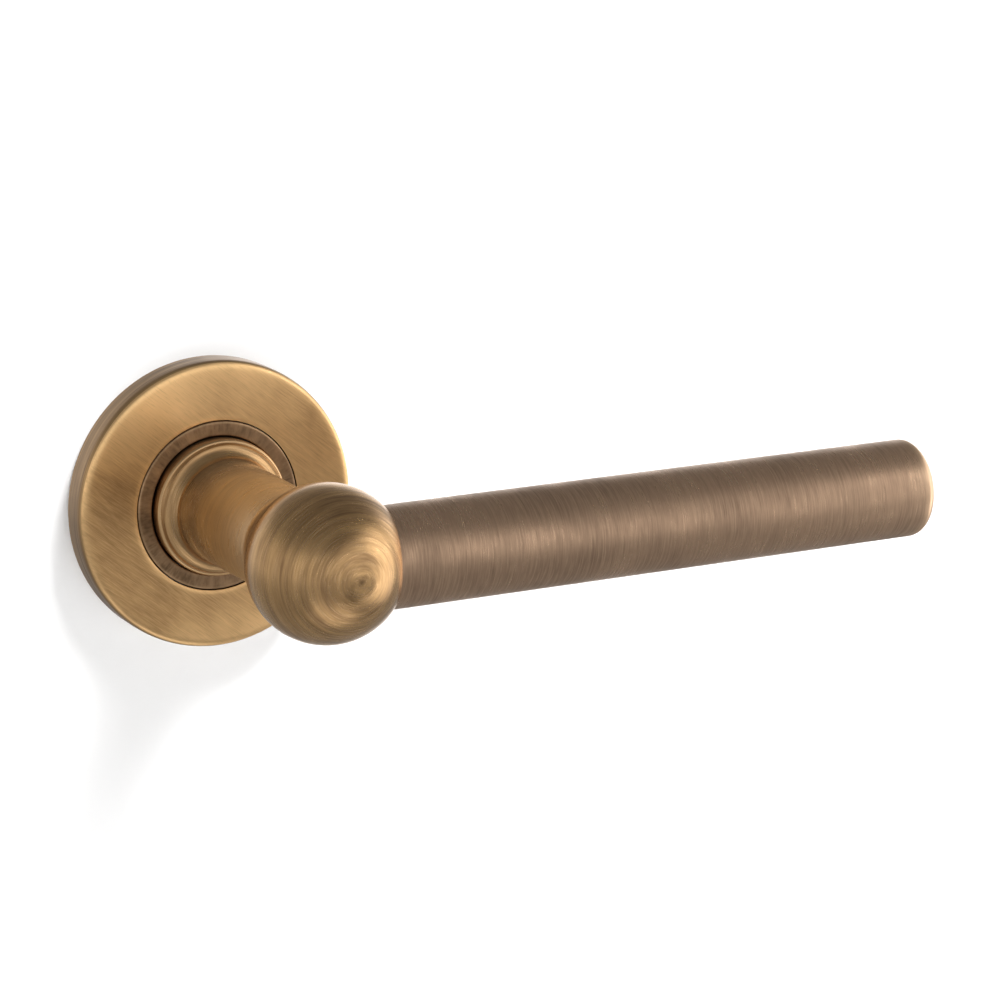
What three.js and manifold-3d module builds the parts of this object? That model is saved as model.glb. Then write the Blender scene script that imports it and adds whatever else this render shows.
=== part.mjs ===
// Door lever handle on a round rose: turned lever, screw-on rose cover, sprung rose plate,
// spindle and fixings. Units are millimetres. The origin is on the spindle axis at the door face.
// +Y points into the door, -Y towards the user, +X along the lever and +Z up.

import * as THREE from 'three';
import { mergeVertices } from 'three/addons/utils/BufferGeometryUtils.js';
import Module from 'manifold-3d';

const wasm = await Module();
wasm.setup();

// ---- Driving dimensions -------------------------------------------------------------------

const FIT = 0.1; // gap between a piece and the fixed neighbour that it rests on
const RUN = 0.1; // radial clearance of a running fit

const ROSE_R = 26;
const ROSE_DEPTH = 6;
const COVER_WALL = 1.4;
const COVER_FRONT = 1.3;
const COVER_EDGE = 0.7;
const COVER_BORE_R = 15.4;

const RING_FLANGE_R = 15.1;
const RING_SLEEVE_R = 13.8;
const RING_BORE_R = 12.8;
const RING_CHAMFER = 0.3;

const COLLAR_R = 12.4;
const COLLAR_FRONT_Y = -8.2;
const COLLAR_BACK_Y = -4.6;
const NECK_COLLAR_END_R = 9.4;
const NECK_BALL_END_R = 9.15;
const NECK_BALL_FILLET_R = 9;
const COVE_R = 2.4;
const BALL_R = 13.565;
const BALL_Y = -50.74;

const SPIGOT_R = 8.5;
const SPIGOT_END_Y = 11;
const SPIGOT_FLAT_X = 7.6;
const SPIGOT_FLAT_START_Y = -0.4;

const GRIP_R = 8.81;
const GRIP_Y = -51.9;
const GRIP_END_X = 116;
const GRIP_END_EDGE = 1.7;
const GRIP_SOCKET_X = 5;
const GRIP_START_X = GRIP_SOCKET_X + FIT;
const STUD_R = 3.9;
const STUD_IN_BALL = 8;
const STUD_IN_GRIP = 15;

const PLATE_R = 24.2;
const PLATE_FRONT_Y = -4.4;
const PLATE_RIM_IN_R = 22.4;
const PLATE_HUB_R = 15.6;
const PLATE_WEB_Y = -2.2;
const FLOOR_FRONT_Y = -2.4;
const FLOOR_BACK_Y = -0.4;
const HOUSING_R = 14.2;
const HOUSING_BORE_R = 12.1;
const HOUSING_END_Y = 6.5;
const FIXING_CENTRE_R = 19; // two bolts on 38 mm centres, and two wood screws above and below
const FIXING_BOSS_R = 4.2;
const POST_R = 3.6;
const POST_END_Y = 9;

const BUSH_FLANGE_R = 12.4;
const BUSH_WALL = 1;
const BUSH_FLANGE_Y = -3.6;

const DRIVER_R = 10.6;
const DRIVER_WING_R = 11.8;
const DRIVER_FRONT_Y = -0.3;
const DRIVER_BACK_Y = 2.4;
const DRIVER_WING_HALF_DEG = 13;

const PRESS_DEG = 45; // how far the lever is pressed down
const STOP_CLEAR_DEG = 1;
const PILLAR_HALF_DEG = 11;
const PILLAR_IN_R = 10.9;
const CAP_SCREW_CENTRE_R = 12.4;

const SPRING_R = 9.9;
const SPRING_WIRE_R = 0.55;
const SPRING_FRONT_Y = 3.3;
const SPRING_BACK_Y = 5.6;
const SPRING_TURNS = 2;
const SPRING_START_DEG = 120;

const CAP_FRONT_Y = HOUSING_END_Y + FIT;
const CAP_BACK_Y = 7.8;
const CAP_BORE_R = 8.9;
const CAP_SCREW_R = 1;
const CAP_SCREW_HEAD_R = 1.7;
const CAP_SCREW_HEAD = 1;
const CAP_SCREW_TIP_Y = 2.8;

const WASHER_R = 10.3;
const WASHER_FRONT_Y = CAP_BACK_Y + FIT;
const WASHER_BACK_Y = 8.6;
const CLIP_R = 10.4;
const CLIP_OPENING = 6;
const CLIP_FRONT_Y = WASHER_BACK_Y + FIT;
const CLIP_BACK_Y = 9.6;
const CLIP_GROOVE_R = 7.95;
const WAVE_SWING = 0.12;

const SPINDLE_HALF = 4; // 8 mm square spindle
const SPINDLE_START_Y = -29;
const SPINDLE_LENGTH = 100;
const SPINDLE_EDGE = 0.6;
const GRUB_Y = -17;
const GRUB_R = 2.4;
const GRUB_LENGTH = 4.6;

const BOLT_R = 2; // M4 bolt through the door
const BOLT_HEAD_R = 3.6;
const BOLT_HEAD_Y = -4.2;
const BOLT_LENGTH = 50;
const WOOD_SCREW_R = 1.7;
const WOOD_SCREW_HEAD_R = 3.3;
const WOOD_SCREW_LENGTH = 25;

const ROUND = 48; // sides of a large turned piece
const LEVER_ROUND = 40; // sides of the lever and its grip
const INNER_ROUND = 32; // sides of a bush or washer
const SMALL_ROUND = 16; // sides of a fastener
const WIRE_SIDES = 6;

// Angles counted from +Z towards +X: the cap's pillars, of which the first two are the stops.
const STOP_DEG = PRESS_DEG / 2 + DRIVER_WING_HALF_DEG + STOP_CLEAR_DEG + PILLAR_HALF_DEG;
const PILLAR_DEGS = [-STOP_DEG, STOP_DEG, 180];
const WING_REST_DEG = -PRESS_DEG / 2;
const BOLT_DEGS = [-90, 90];
const WOOD_SCREW_DEGS = [0, 180];
const SPRING_END_DEG = SPRING_START_DEG - 360 * SPRING_TURNS;

// ---- Finishes -----------------------------------------------------------------------------

function finish(color, roughness, metalness) {
  return new THREE.MeshStandardMaterial({ color, roughness, metalness });
}

const roseBrass = finish(0xb08a58, 0.38, 1);
const ringBrass = finish(0x6f5a42, 0.45, 1);
const leverBrass = finish(0x93734d, 0.35, 1);
const gripBrass = finish(0x86694b, 0.38, 1);
const zinc = finish(0x8c8f92, 0.6, 1);
const acetal = finish(0xe6e2d6, 0.5, 0);
const springSteel = finish(0x5d6064, 0.35, 1);
const platedSteel = finish(0xb9bcc0, 0.3, 1);

// ---- Solids -------------------------------------------------------------------------------

// A point [radius, y] of a turned profile on an arc about (centreR, centreY).
function arc(centreR, centreY, radius, fromDeg, toDeg, steps) {
  const points = [];
  for (let i = 0; i <= steps; i++) {
    const angle = THREE.MathUtils.degToRad(fromDeg + ((toDeg - fromDeg) * i) / steps);
    points.push([centreR + radius * Math.cos(angle), centreY + radius * Math.sin(angle)]);
  }
  return points;
}

// A turned piece about the Y axis. The profile runs up its outer side.
function turned(profile, sides) {
  const points = profile.map(([r, y]) => new THREE.Vector2(Math.max(r, 0), y));
  return new THREE.LatheGeometry(points, sides);
}

// A turned ring: its profile closes on itself.
function turnedRing(profile, sides) {
  return turned([...profile, profile[0]], sides);
}

function cylinder(radius, fromY, toY, sides) {
  return turned([[0, fromY], [radius, fromY], [radius, toY], [0, toY]], sides);
}

function box(from, to) {
  const size = new THREE.Vector3().subVectors(to, from);
  const middle = new THREE.Vector3().addVectors(from, to).multiplyScalar(0.5);
  return new THREE.BoxGeometry(size.x, size.y, size.z).translate(middle.x, middle.y, middle.z);
}

// A ring sector about the Y axis, centred on an angle counted from +Z towards +X.
function sector(innerR, outerR, fromY, toY, centreDeg, halfDeg) {
  const shape = new THREE.Shape();
  const start = THREE.MathUtils.degToRad(-halfDeg);
  const end = THREE.MathUtils.degToRad(halfDeg);
  shape.absarc(0, 0, outerR, start, end, false);
  shape.absarc(0, 0, innerR, end, start, true);
  const options = { depth: toY - fromY, bevelEnabled: false, curveSegments: 4 };
  const geometry = new THREE.ExtrudeGeometry(shape, options);
  geometry.rotateX(Math.PI / 2);
  geometry.translate(0, toY, 0);
  return geometry.rotateY(THREE.MathUtils.degToRad(centreDeg - 90));
}

function solidOf(geometry) {
  const bare = geometry.clone();
  bare.deleteAttribute('normal');
  bare.deleteAttribute('uv');
  const merged = mergeVertices(bare);
  const index = merged.index.array;
  const corners = [];
  for (let i = 0; i < index.length; i += 3) {
    const [a, b, c] = [index[i], index[i + 1], index[i + 2]];
    if (a !== b && b !== c && c !== a) corners.push(a, b, c);
  }
  const mesh = new wasm.Mesh({
    numProp: 3,
    vertProperties: merged.attributes.position.array,
    triVerts: new Uint32Array(corners),
  });
  return new wasm.Manifold(mesh);
}

function geometryOf(solid) {
  const mesh = solid.getMesh();
  const geometry = new THREE.BufferGeometry();
  geometry.setAttribute('position', new THREE.BufferAttribute(mesh.vertProperties, 3));
  geometry.setIndex(new THREE.BufferAttribute(mesh.triVerts, 1));
  geometry.computeVertexNormals();
  return geometry;
}

// The base with every joined piece added, and then every cut taken away.
function shaped(base, joins, cuts) {
  let solid = solidOf(base);
  for (const piece of joins) solid = solid.add(solidOf(piece));
  for (const tool of cuts) solid = solid.subtract(solidOf(tool));
  return geometryOf(solid);
}

// The point at a radius and height, at an angle counted from +Z towards +X.
function around(radius, y, deg) {
  const angle = THREE.MathUtils.degToRad(deg);
  return new THREE.Vector3(radius * Math.sin(angle), y, radius * Math.cos(angle));
}

function piece(name, geometry, material, position = new THREE.Vector3()) {
  const mesh = new THREE.Mesh(geometry, material.clone());
  mesh.name = name;
  mesh.position.copy(position);
  return mesh;
}

// ---- Fixed side: rose cover, bearing ring, plate, bush, spring and cap ---------------------

function roseCover() {
  const innerR = ROSE_R - COVER_WALL;
  const innerY = -ROSE_DEPTH + COVER_FRONT;
  return turnedRing([
    [COVER_BORE_R + RING_CHAMFER, -ROSE_DEPTH],
    ...arc(ROSE_R - COVER_EDGE, COVER_EDGE - ROSE_DEPTH, COVER_EDGE, -90, 0, 3),
    [ROSE_R, 0],
    [innerR, 0],
    [innerR, innerY],
    [COVER_BORE_R, innerY],
    [COVER_BORE_R, -ROSE_DEPTH + RING_CHAMFER],
  ], ROUND);
}

function bearingRing() {
  const frontY = -ROSE_DEPTH;
  const flangeBackY = PLATE_FRONT_Y - FIT;
  const sleeveBackY = FLOOR_FRONT_Y - FIT;
  return turnedRing([
    [RING_BORE_R + RING_CHAMFER, frontY],
    [RING_FLANGE_R - RING_CHAMFER, frontY],
    [RING_FLANGE_R, frontY + RING_CHAMFER],
    [RING_FLANGE_R, flangeBackY],
    [RING_SLEEVE_R, flangeBackY],
    [RING_SLEEVE_R, sleeveBackY],
    [RING_BORE_R, sleeveBackY],
    [RING_BORE_R, frontY + RING_CHAMFER],
  ], ROUND);
}

// Die-cast plate: rim for the cover's thread, hub for the bearing ring, spring housing behind.
function mountingPlate() {
  const bushHoleR = SPIGOT_R + RUN + BUSH_WALL + FIT;
  const body = turnedRing([
    [bushHoleR, FLOOR_FRONT_Y],
    [RING_SLEEVE_R + FIT, FLOOR_FRONT_Y],
    [RING_SLEEVE_R + FIT, PLATE_FRONT_Y],
    [PLATE_HUB_R, PLATE_FRONT_Y],
    [PLATE_HUB_R, PLATE_WEB_Y],
    [PLATE_RIM_IN_R, PLATE_WEB_Y],
    [PLATE_RIM_IN_R, PLATE_FRONT_Y],
    [PLATE_R, PLATE_FRONT_Y],
    [PLATE_R, 0],
    [HOUSING_R, 0],
    [HOUSING_R, HOUSING_END_Y],
    [HOUSING_BORE_R, HOUSING_END_Y],
    [HOUSING_BORE_R, FLOOR_BACK_Y],
    [bushHoleR, FLOOR_BACK_Y],
  ], ROUND);
  const joins = [];
  const cuts = [];
  for (const deg of [...BOLT_DEGS, ...WOOD_SCREW_DEGS]) {
    const centre = around(FIXING_CENTRE_R, 0, deg);
    const boss = cylinder(FIXING_BOSS_R, BOLT_HEAD_Y, PLATE_WEB_Y / 2, SMALL_ROUND);
    joins.push(boss.translate(centre.x, 0, centre.z));
  }
  for (const deg of BOLT_DEGS) {
    const centre = around(FIXING_CENTRE_R, 0, deg);
    const post = cylinder(POST_R, PLATE_WEB_Y / 2, POST_END_Y, SMALL_ROUND);
    joins.push(post.translate(centre.x, 0, centre.z));
    cuts.push(countersink(BOLT_R, BOLT_HEAD_R, POST_END_Y).translate(centre.x, 0, centre.z));
  }
  for (const deg of WOOD_SCREW_DEGS) {
    const centre = around(FIXING_CENTRE_R, 0, deg);
    const hole = countersink(WOOD_SCREW_R, WOOD_SCREW_HEAD_R, 0);
    cuts.push(hole.translate(centre.x, 0, centre.z));
  }
  for (const deg of PILLAR_DEGS) {
    const outerR = (HOUSING_BORE_R + HOUSING_R) / 2;
    joins.push(sector(PILLAR_IN_R, outerR, FLOOR_BACK_Y - 1, HOUSING_END_Y, deg, PILLAR_HALF_DEG));
    const centre = around(CAP_SCREW_CENTRE_R, 0, deg);
    const hole = cylinder(CAP_SCREW_R + FIT, CAP_SCREW_TIP_Y - 0.5, HOUSING_END_Y + 1, SMALL_ROUND);
    cuts.push(hole.translate(centre.x, 0, centre.z));
  }
  return shaped(body, joins, cuts);
}

// The tool for a countersunk hole from the front of a fixing boss to just past backY.
function countersink(screwR, headR, backY) {
  const coneDepth = headR - screwR;
  const wide = headR + FIT;
  return turned([
    [0, BOLT_HEAD_Y - 1],
    [wide, BOLT_HEAD_Y - 1],
    [wide, BOLT_HEAD_Y + FIT],
    [screwR + 2 * FIT, BOLT_HEAD_Y + FIT + coneDepth],
    [screwR + 2 * FIT, backY + 1],
    [0, backY + 1],
  ], SMALL_ROUND);
}

function neckBush() {
  const boreR = SPIGOT_R + RUN;
  const seatY = FLOOR_FRONT_Y - FIT;
  const endY = FLOOR_BACK_Y - FIT;
  return turnedRing([
    [boreR, BUSH_FLANGE_Y],
    [BUSH_FLANGE_R, BUSH_FLANGE_Y],
    [BUSH_FLANGE_R, seatY],
    [boreR + BUSH_WALL, seatY],
    [boreR + BUSH_WALL, endY],
    [boreR, endY],
  ], INNER_ROUND);
}

// Torsion spring: one leg drops into the driver's notch, the other passes through the cap.
// It is coiled left-handed, so that pressing the lever winds it up.
function returnSpring() {
  const legAngle = 8;
  const turnSteps = 20;
  const points = [
    around(SPRING_R, DRIVER_FRONT_Y + 1.2, SPRING_START_DEG),
    around(SPRING_R, SPRING_FRONT_Y - 1.3, SPRING_START_DEG),
  ];
  const steps = turnSteps * SPRING_TURNS;
  for (let i = 0; i <= steps; i++) {
    const along = i / steps;
    const y = THREE.MathUtils.lerp(SPRING_FRONT_Y, SPRING_BACK_Y, along);
    const turn = 360 * SPRING_TURNS - 2 * legAngle;
    points.push(around(SPRING_R, y, SPRING_START_DEG - legAngle - turn * along));
  }
  points.push(around(SPRING_R, SPRING_BACK_Y + 1.3, SPRING_END_DEG));
  points.push(around(SPRING_R, CAP_BACK_Y, SPRING_END_DEG));
  const rim = [];
  for (let i = 0; i < WIRE_SIDES; i++) {
    const angle = (2 * Math.PI * i) / WIRE_SIDES;
    rim.push(new THREE.Vector2(Math.cos(angle), Math.sin(angle)).multiplyScalar(SPRING_WIRE_R));
  }
  return new THREE.ExtrudeGeometry(new THREE.Shape(rim), {
    steps: 76,
    extrudePath: new THREE.CatmullRomCurve3(points),
  });
}

function springCap() {
  const disc = turnedRing([
    [CAP_BORE_R, CAP_FRONT_Y],
    [HOUSING_R, CAP_FRONT_Y],
    [HOUSING_R, CAP_BACK_Y],
    [CAP_BORE_R, CAP_BACK_Y],
  ], ROUND);
  const holes = PILLAR_DEGS.map((deg) => {
    const centre = around(CAP_SCREW_CENTRE_R, 0, deg);
    const hole = cylinder(CAP_SCREW_R + FIT, CAP_FRONT_Y - 1, CAP_BACK_Y + 1, SMALL_ROUND);
    return hole.translate(centre.x, 0, centre.z);
  });
  const leg = around(SPRING_R, 0, SPRING_END_DEG);
  const legHole = cylinder(SPRING_WIRE_R + 0.25, CAP_FRONT_Y - 1, CAP_BACK_Y + 1, SMALL_ROUND);
  holes.push(legHole.translate(leg.x, 0, leg.z));
  return shaped(disc, [], holes);
}

// ---- Fasteners: each has its head's outer face at y = 0 and its shank along +Y --------------

// Two crossed slots, sunk into the head from its outer face.
function crossRecess(width, length, depth) {
  const half = width / 2;
  const reach = length / 2;
  const across = box(new THREE.Vector3(-reach, -1, -half), new THREE.Vector3(reach, depth, half));
  const upright = box(new THREE.Vector3(-half, -1, -reach), new THREE.Vector3(half, depth, reach));
  return [across, upright];
}

function throughBolt() {
  const coneDepth = BOLT_HEAD_R - BOLT_R;
  const tip = 0.5;
  const blank = turned([
    [0, 0],
    [BOLT_HEAD_R, 0],
    [BOLT_R, coneDepth],
    [BOLT_R, BOLT_LENGTH - tip],
    [BOLT_R - tip, BOLT_LENGTH],
    [0, BOLT_LENGTH],
  ], SMALL_ROUND);
  return shaped(blank, [], crossRecess(0.9, 4, 1.3));
}

function woodScrew() {
  const coneDepth = WOOD_SCREW_HEAD_R - WOOD_SCREW_R;
  const point = 5;
  const blank = turned([
    [0, 0],
    [WOOD_SCREW_HEAD_R, 0],
    [WOOD_SCREW_R, coneDepth],
    [WOOD_SCREW_R, WOOD_SCREW_LENGTH - point],
    [0, WOOD_SCREW_LENGTH],
  ], SMALL_ROUND);
  return shaped(blank, [], crossRecess(0.8, 3.6, 1.2));
}

// Pan-headed screw, turned round so that its shank runs towards the user.
function capScrew() {
  const shank = CAP_BACK_Y + FIT - CAP_SCREW_TIP_Y;
  const edge = 0.3;
  const blank = turned([
    [0, 0],
    [CAP_SCREW_HEAD_R - edge, 0],
    [CAP_SCREW_HEAD_R, edge],
    [CAP_SCREW_HEAD_R, CAP_SCREW_HEAD],
    [CAP_SCREW_R, CAP_SCREW_HEAD],
    [CAP_SCREW_R, CAP_SCREW_HEAD + shank],
    [0, CAP_SCREW_HEAD + shank],
  ], SMALL_ROUND);
  return shaped(blank, [], crossRecess(0.5, 2, 0.5)).rotateX(Math.PI);
}

// ---- Moving side: lever, grip, spindle, driver and its retainers ----------------------------

// Ball, neck, collar and spigot, turned as one piece.
function leverNeck() {
  const reachR = BALL_R + NECK_BALL_FILLET_R;
  const filletR = NECK_BALL_END_R + NECK_BALL_FILLET_R;
  const filletRise = Math.sqrt(reachR ** 2 - filletR ** 2);
  const joinDeg = THREE.MathUtils.radToDeg(Math.atan2(filletRise, filletR));
  const coveY = COLLAR_FRONT_Y - 0.6 - COVE_R;
  const rim = 0.55;
  const turnedBlank = turned([
    ...arc(0, BALL_Y, BALL_R, -90, joinDeg, 14),
    ...arc(filletR, BALL_Y + filletRise, NECK_BALL_FILLET_R, 180 + joinDeg, 180, 4).slice(1),
    [NECK_COLLAR_END_R, coveY],
    ...arc(NECK_COLLAR_END_R + COVE_R, coveY, COVE_R, 180, 100, 4).slice(1),
    ...arc(COLLAR_R - rim, COLLAR_FRONT_Y + rim, rim, -90, 0, 3),
    [COLLAR_R, COLLAR_BACK_Y],
    [SPIGOT_R, COLLAR_BACK_Y],
    [SPIGOT_R, CLIP_FRONT_Y - FIT],
    [CLIP_GROOVE_R, CLIP_FRONT_Y - FIT],
    [CLIP_GROOVE_R, CLIP_BACK_Y + FIT],
    [SPIGOT_R, CLIP_BACK_Y + FIT],
    [SPIGOT_R, SPIGOT_END_Y - 0.4],
    [SPIGOT_R - 0.4, SPIGOT_END_Y],
    [0, SPIGOT_END_Y],
  ], LEVER_ROUND);
  const beyond = SPIGOT_END_Y + 1;
  const flats = [-1, 1].map((side) => box(
    new THREE.Vector3(side < 0 ? -ROSE_R : SPIGOT_FLAT_X, SPIGOT_FLAT_START_Y, -ROSE_R),
    new THREE.Vector3(side < 0 ? -SPIGOT_FLAT_X : ROSE_R, beyond, ROSE_R),
  ));
  const socketHalf = SPINDLE_HALF + FIT;
  const socket = box(
    new THREE.Vector3(-socketHalf, SPINDLE_START_Y - 1, -socketHalf),
    new THREE.Vector3(socketHalf, beyond, socketHalf),
  );
  const grubHole = cylinder(GRUB_R + 0.15, 0, BALL_R, SMALL_ROUND);
  grubHole.rotateX(-Math.PI / 2).translate(0, GRUB_Y, 0);
  const gripHole = alongX(cylinder(GRIP_R + FIT, GRIP_SOCKET_X, BALL_R + 1, ROUND));
  const studHole = alongX(cylinder(STUD_R + FIT, GRIP_SOCKET_X - STUD_IN_BALL - 0.5, BALL_R, 24));
  gripHole.translate(0, GRIP_Y, 0);
  studHole.translate(0, GRIP_Y, 0);
  return shaped(turnedBlank, [], [...flats, socket, grubHole, gripHole, studHole]);
}

// Lays a piece that was turned about Y along +X.
function alongX(geometry) {
  return geometry.rotateZ(-Math.PI / 2);
}

function gripBar() {
  const length = GRIP_END_X - GRIP_START_X;
  const holeDepth = STUD_IN_GRIP + 0.5;
  return alongX(turned([
    [0, holeDepth],
    [STUD_R + FIT, holeDepth],
    [STUD_R + FIT, 0],
    [GRIP_R, 0],
    ...arc(GRIP_R - GRIP_END_EDGE, length - GRIP_END_EDGE, GRIP_END_EDGE, 0, 90, 4),
    [0, length],
  ], LEVER_ROUND));
}

function jointStud() {
  const chamfer = 0.5;
  const length = STUD_IN_BALL + STUD_IN_GRIP;
  return alongX(turned([
    [0, 0],
    [STUD_R - chamfer, 0],
    [STUD_R, chamfer],
    [STUD_R, length - chamfer],
    [STUD_R - chamfer, length],
    [0, length],
  ], 24));
}

function spindle() {
  const half = SPINDLE_HALF;
  const edge = SPINDLE_EDGE;
  const shape = new THREE.Shape();
  shape.moveTo(half - edge, -half);
  shape.lineTo(half, edge - half);
  shape.lineTo(half, half - edge);
  shape.lineTo(half - edge, half);
  shape.lineTo(edge - half, half);
  shape.lineTo(-half, half - edge);
  shape.lineTo(-half, edge - half);
  shape.lineTo(edge - half, -half);
  shape.closePath();
  const bar = new THREE.ExtrudeGeometry(shape, { depth: SPINDLE_LENGTH, bevelEnabled: false });
  return bar.rotateX(-Math.PI / 2);
}

// Socket set screw that points up at the spindle, with its hexagon socket at the lower end.
function grubScrew() {
  const chamfer = 0.4;
  const hexagonR = 1.45;
  const socketDepth = 2;
  const blank = turned([
    [0, 0],
    [GRUB_R - chamfer, 0],
    [GRUB_R, chamfer],
    [GRUB_R, GRUB_LENGTH - chamfer],
    [GRUB_R - chamfer, GRUB_LENGTH],
    [0, GRUB_LENGTH],
  ], SMALL_ROUND);
  return shaped(blank, [], [cylinder(hexagonR, -1, socketDepth, 6)]).rotateX(Math.PI / 2);
}

// Keyed on the spigot's flats: its wing meets the stops and its notch holds the spring's leg.
function springDriver() {
  const disc = cylinder(DRIVER_R, DRIVER_FRONT_Y, DRIVER_BACK_Y, ROUND);
  const wing = sector(
    SPIGOT_R + 1, DRIVER_WING_R, DRIVER_FRONT_Y, DRIVER_BACK_Y, WING_REST_DEG, DRIVER_WING_HALF_DEG,
  );
  const keyed = solidOf(cylinder(SPIGOT_R + FIT, DRIVER_FRONT_Y - 1, DRIVER_BACK_Y + 1, ROUND));
  const flatX = SPIGOT_FLAT_X + FIT;
  const between = solidOf(box(
    new THREE.Vector3(-flatX, DRIVER_FRONT_Y - 1, -ROSE_R),
    new THREE.Vector3(flatX, DRIVER_BACK_Y + 1, ROSE_R),
  ));
  const bore = geometryOf(keyed.intersect(between));
  const notchHalf = SPRING_WIRE_R + 0.35;
  const notch = box(
    new THREE.Vector3(-notchHalf, DRIVER_FRONT_Y + 0.9, SPRING_R - notchHalf),
    new THREE.Vector3(notchHalf, DRIVER_BACK_Y + 1, DRIVER_WING_R + 1),
  ).rotateY(THREE.MathUtils.degToRad(SPRING_START_DEG));
  return shaped(disc, [wing], [bore, notch]);
}

// Three-wave spring washer between the collar and the bush's flange.
function waveWasher() {
  const innerR = SPIGOT_R + 0.7;
  const outerR = COLLAR_R - 0.4;
  const half = 0.2;
  const ring = turnedRing([
    [innerR, -half],
    [outerR, -half],
    [outerR, half],
    [innerR, half],
  ], INNER_ROUND);
  const place = ring.attributes.position;
  for (let i = 0; i < place.count; i++) {
    const angle = Math.atan2(place.getX(i), place.getZ(i));
    place.setY(i, place.getY(i) + WAVE_SWING * Math.cos(3 * angle));
  }
  ring.computeVertexNormals();
  return ring;
}

function thrustWasher() {
  const innerR = SPIGOT_R + RUN;
  return turnedRing([
    [innerR, WASHER_FRONT_Y],
    [WASHER_R, WASHER_FRONT_Y],
    [WASHER_R, WASHER_BACK_Y],
    [innerR, WASHER_BACK_Y],
  ], INNER_ROUND);
}

function circlip() {
  const innerR = CLIP_GROOVE_R + FIT;
  const ring = turnedRing([
    [innerR, CLIP_FRONT_Y],
    [CLIP_R, CLIP_FRONT_Y],
    [CLIP_R, CLIP_BACK_Y],
    [innerR, CLIP_BACK_Y],
  ], INNER_ROUND);
  const opening = box(
    new THREE.Vector3(-CLIP_OPENING / 2, CLIP_FRONT_Y - 1, -ROSE_R),
    new THREE.Vector3(CLIP_OPENING / 2, CLIP_BACK_Y + 1, 0),
  );
  return shaped(ring, [], [opening]);
}

// ---- Assembly -------------------------------------------------------------------------------

const rose = new THREE.Group();
rose.add(piece('rose_cover', roseCover(), roseBrass));
rose.add(piece('bearing_ring', bearingRing(), ringBrass));
rose.add(piece('mounting_plate', mountingPlate(), zinc));
rose.add(piece('neck_bush', neckBush(), acetal));
rose.add(piece('return_spring', returnSpring(), springSteel));
rose.add(piece('spring_cap', springCap(), platedSteel));
PILLAR_DEGS.forEach((deg, i) => {
  const seatY = CAP_BACK_Y + FIT + CAP_SCREW_HEAD;
  const place = around(CAP_SCREW_CENTRE_R, seatY, deg);
  rose.add(piece(`cap_screw_${i + 1}`, capScrew(), platedSteel, place));
});
BOLT_DEGS.forEach((deg, i) => {
  const place = around(FIXING_CENTRE_R, BOLT_HEAD_Y, deg);
  rose.add(piece(`through_bolt_${i + 1}`, throughBolt(), platedSteel, place));
});
WOOD_SCREW_DEGS.forEach((deg, i) => {
  const place = around(FIXING_CENTRE_R, BOLT_HEAD_Y, deg);
  rose.add(piece(`wood_screw_${i + 1}`, woodScrew(), platedSteel, place));
});

const lever = new THREE.Group();
const gripStart = new THREE.Vector3(GRIP_START_X, GRIP_Y, 0);
const studStart = new THREE.Vector3(GRIP_SOCKET_X - STUD_IN_BALL, GRIP_Y, 0);
const washerMiddle = new THREE.Vector3(0, (COLLAR_BACK_Y + BUSH_FLANGE_Y) / 2, 0);
const grubEnd = new THREE.Vector3(0, GRUB_Y, -SPINDLE_HALF - FIT - GRUB_LENGTH);
const spindleStart = new THREE.Vector3(0, SPINDLE_START_Y, 0);
lever.add(piece('lever_neck', leverNeck(), leverBrass));
lever.add(piece('grip_bar', gripBar(), gripBrass, gripStart));
lever.add(piece('joint_stud', jointStud(), platedSteel, studStart));
lever.add(piece('spindle', spindle(), platedSteel, spindleStart));
lever.add(piece('spindle_grub_screw', grubScrew(), springSteel, grubEnd));
lever.add(piece('spring_driver', springDriver(), platedSteel));
lever.add(piece('wave_washer', waveWasher(), springSteel, washerMiddle));
lever.add(piece('thrust_washer', thrustWasher(), acetal));
lever.add(piece('circlip', circlip(), springSteel));

const handle = new THREE.Group();
handle.add(rose, lever);

export default handle;
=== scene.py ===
"""Looks for the door lever handle: fine turned meshes, threads, and aged brushed brass.

Lengths are in millimetres in the part's frame and become metres when a mesh is made. Only the
stage, the camera's distance and the lamps are given in metres.
The spindle axis is Y, with the user at -Y. The lever points along +X.
"""

import math

import bmesh
import bpy
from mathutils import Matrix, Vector


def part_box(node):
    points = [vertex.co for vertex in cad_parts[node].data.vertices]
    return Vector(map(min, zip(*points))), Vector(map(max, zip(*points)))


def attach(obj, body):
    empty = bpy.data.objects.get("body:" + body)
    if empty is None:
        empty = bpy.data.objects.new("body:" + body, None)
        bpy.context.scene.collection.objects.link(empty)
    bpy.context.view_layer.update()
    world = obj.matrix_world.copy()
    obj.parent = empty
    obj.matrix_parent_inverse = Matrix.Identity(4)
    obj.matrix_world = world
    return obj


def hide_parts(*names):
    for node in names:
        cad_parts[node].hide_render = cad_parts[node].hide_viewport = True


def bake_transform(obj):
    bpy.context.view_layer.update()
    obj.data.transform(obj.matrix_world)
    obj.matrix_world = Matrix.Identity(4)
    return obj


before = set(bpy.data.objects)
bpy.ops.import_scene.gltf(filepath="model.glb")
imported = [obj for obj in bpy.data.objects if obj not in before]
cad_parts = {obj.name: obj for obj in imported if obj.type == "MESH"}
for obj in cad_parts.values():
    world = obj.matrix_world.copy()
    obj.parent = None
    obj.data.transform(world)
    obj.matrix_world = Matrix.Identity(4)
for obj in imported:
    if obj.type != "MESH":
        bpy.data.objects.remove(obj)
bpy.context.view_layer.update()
MM = 0.001


def millimetres(node):
    """The lowest and highest corners of a CAD node, in millimetres."""
    low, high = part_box(node)
    return low / MM, high / MM


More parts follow.
